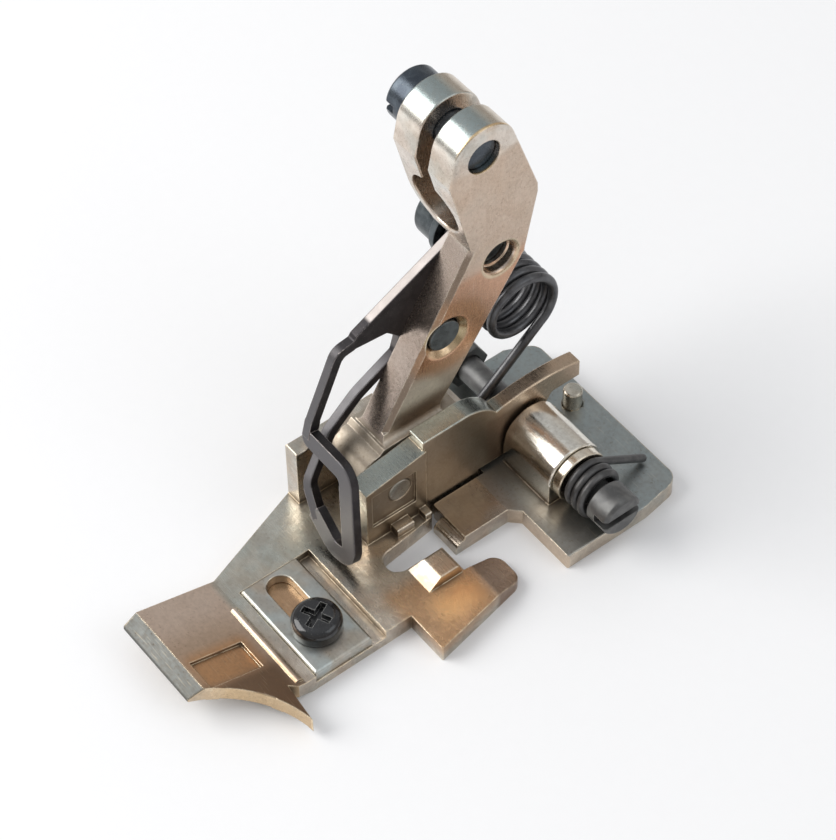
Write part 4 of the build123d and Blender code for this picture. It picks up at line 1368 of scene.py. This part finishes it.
@dataclass
class RearHinge:
    """The hinge screw, its nut, the collar and the small spring."""

    axis: Pair = (15.6, 5.0)
    spring_left: float = 13.87
    spring_radius: float = 2.3
    spring_turns: float = 2.7
    spring_wire: float = 0.42
    spring_pitch: float = 0.9
    leg_end: Pair = (23.2, 2.47)
    collar_rounding: float = 0.14
    screw_rounding: float = 0.12
    nut_rounding: float = 0.12
    black: Blackened = Blackened(
        "small_spring_black", (0.07, 0.069, 0.07), (0.15, 0.147, 0.145), (0.45, 0.43, 0.4), 0.42
    )
    bright: Nickel = Nickel(
        "collar_steel", (0.85, 0.8, 0.7), (0.66, 0.6, 0.5), (0.98, 0.86, 0.62), 0.16, Axis.X
    )
    dark: Blackened = Blackened(
        "hinge_screw_dark", (0.1, 0.1, 0.1), (0.2, 0.2, 0.195), (0.6, 0.57, 0.5), 0.45
    )

    def spring_path(self) -> np.ndarray:
        """The small wire's middle: one straight leg from the plate, tangent to the coil.

        Returns:
            Points of the path in millimetres.
        """
        run = np.subtract(self.leg_end, self.axis)
        lean = math.acos(self.spring_radius / float(np.linalg.norm(run)))
        leave = math.degrees(math.atan2(run[1], run[0]) + lean)
        span = (self.spring_left, self.spring_left + self.spring_turns * self.spring_pitch)
        angles = (leave, leave + FULL_TURN * self.spring_turns)
        coil = arc(self.axis, self.spring_radius, span, angles)
        start = np.array([self.spring_left, *self.leg_end])
        return np.concatenate([start[None], line(start, coil[0])[:-1], coil])

    def build(self, frame: Mapping[str, Any]) -> None:
        """Show the pieces on the rear hinge."""
        wire = surface("rear_spring_wire", tube(self.spring_path(), self.spring_wire))
        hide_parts("rear_spring")
        settle(wire, Body.REAR, self.black.make())
        collar = softened(frame, "hinge_collar", self.collar_rounding)
        settle(collar, Body.REAR, self.bright.make())
        dark = self.dark.make()
        screw = softened(frame, "rear_hinge_screw", self.screw_rounding)
        settle(screw, Body.FRONT, dark)
        settle(softened(frame, "rear_hinge_nut", self.nut_rounding), Body.FRONT, dark)


@dataclass(frozen=True)
class Lamp:
    """A soft rectangular lamp.

    Attributes:
        name: Its name.
        place: Its place in millimetres.
        size: Width and height in millimetres.
        power: Its power in watts.
        colour: Its colour.
    """

    name: str
    place: Triple
    size: Pair
    power: float
    colour: Colour

    def build(self, aim: Triple) -> None:
        """Hang the lamp so that it points at a place in millimetres."""
        data = bpy.data.lights.new(self.name, "AREA")
        data.shape = "RECTANGLE"
        data.size, data.size_y = (side * MM for side in self.size)
        data.energy = self.power
        data.color = self.colour
        lamp = bpy.data.objects.new(self.name, data)
        lamp.location = Vector(self.place) * MM
        ray = Vector(aim) - Vector(self.place)
        lamp.rotation_euler = ray.to_track_quat("-Z", "Y").to_euler()
        bpy.context.scene.collection.objects.link(lamp)


@dataclass
class Studio:
    """The pale floor, the soft light and the camera."""

    target: Triple = (-5.2, 10.0, 0.0)
    azimuth: float = 52.9
    elevation: float = 51.1
    roll: float = -0.98
    distance: float = 300.0
    nearest: float = 10.0
    focal_pixels: float = 3000.0
    frame_pixels: tuple[int, int] = (836, 840)
    floor_half: float = 1500.0
    floor_points: int = 9
    aim: Triple = (0.0, 4.0, 8.0)
    lamps: tuple[Lamp, ...] = (
        Lamp("key", (-330.0, -400.0, 410.0), (520.0, 480.0), 3.6, (1.0, 0.99, 0.97)),
        Lamp("fill", (420.0, 260.0, 420.0), (400.0, 300.0), 0.4, (0.9, 0.96, 1.0)),
    )
    sky_strength: float = 0.9
    sky_stops: Stops = (
        (0.0, (0.4, 0.37, 0.35)),
        (0.35, (0.62, 0.6, 0.58)),
        (0.7, (0.6, 0.61, 0.62)),
        (1.0, (0.85, 0.87, 0.9)),
    )

    def floor(self) -> None:
        """Lay the floor as a grid in one plane under the sole."""
        side = np.linspace(-self.floor_half, self.floor_half, self.floor_points)
        x, y = np.meshgrid(side, side, indexing="ij")
        points = np.stack([x, y, np.zeros_like(x)], axis=2) * MM
        faces = grid_faces(self.floor_points, self.floor_points, False)[:, ::-1]
        mesh = bpy.data.meshes.new("floor")
        mesh.from_pydata(points.reshape(-1, 3).tolist(), [], faces.tolist())
        mesh.materials.append(Paper().make())
        floor = bpy.data.objects.new("floor", mesh)
        bpy.context.scene.collection.objects.link(floor)

    def camera(self) -> None:
        """Set the camera at the photograph's angle."""
        azimuth, elevation, roll = np.radians((self.azimuth, self.elevation, self.roll)).tolist()
        level = Vector((math.cos(azimuth), math.sin(azimuth), 0.0))
        behind = Vector((math.sin(azimuth), -math.cos(azimuth), 0.0))
        back = math.cos(elevation) * behind + math.sin(elevation) * Vector(UP)
        rise = back.cross(level)
        right = math.cos(roll) * level + math.sin(roll) * rise
        up = math.cos(roll) * rise - math.sin(roll) * level
        data = bpy.data.cameras.new("camera")
        data.sensor_fit = "HORIZONTAL"
        data.angle = 2 * math.atan(self.frame_pixels[0] / 2 / self.focal_pixels)
        data.clip_start = self.nearest * MM
        camera = bpy.data.objects.new("camera", data)
        place = Matrix.Translation((Vector(self.target) + self.distance * back) * MM)
        camera.matrix_world = place @ Matrix((right, up, back)).transposed().to_4x4()
        bpy.context.scene.collection.objects.link(camera)
        bpy.context.scene.camera = camera

    def sky(self) -> None:
        """A soft surround: pale and cool above, warm and darker towards the horizon."""
        world = bpy.data.worlds.new("surround")
        bpy.context.scene.world = world
        world.use_nodes = True
        nodes = Nodes(world.node_tree)
        direction = nodes.node("ShaderNodeTexCoord", output="Generated")
        height = nodes.node("ShaderNodeSeparateXYZ", inputs={0: direction}, output="Z")
        tone = nodes.node("ShaderNodeValToRGB", {"stops": self.sky_stops}, {0: height})
        background = nodes.tree.nodes["Background"]
        nodes.feed(background.inputs["Color"], tone)
        nodes.feed(background.inputs["Strength"], self.sky_strength)

    def build(self) -> None:
        """Set floor, camera, surround and light."""
        self.floor()
        self.camera()
        self.sky()
        for lamp in self.lamps:
            lamp.build(self.aim)
        view = bpy.context.scene.view_settings
        view.view_transform = "Standard"
        view.look = "None"


def main() -> None:
    """Load the frame, build every sub-assembly and set up the studio."""
    logging.basicConfig(level=logging.INFO, format="%(name)s: %(message)s")
    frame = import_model()
    FrontSole().build(frame)
    Guide().build(frame)
    Shank().build(frame)
    FingerGuard().build(frame)
    TiltSpring().build()
    RearSole().build(frame)
    RearHinge().build(frame)
    Studio().build()


if __name__ == "__main__":
    main()
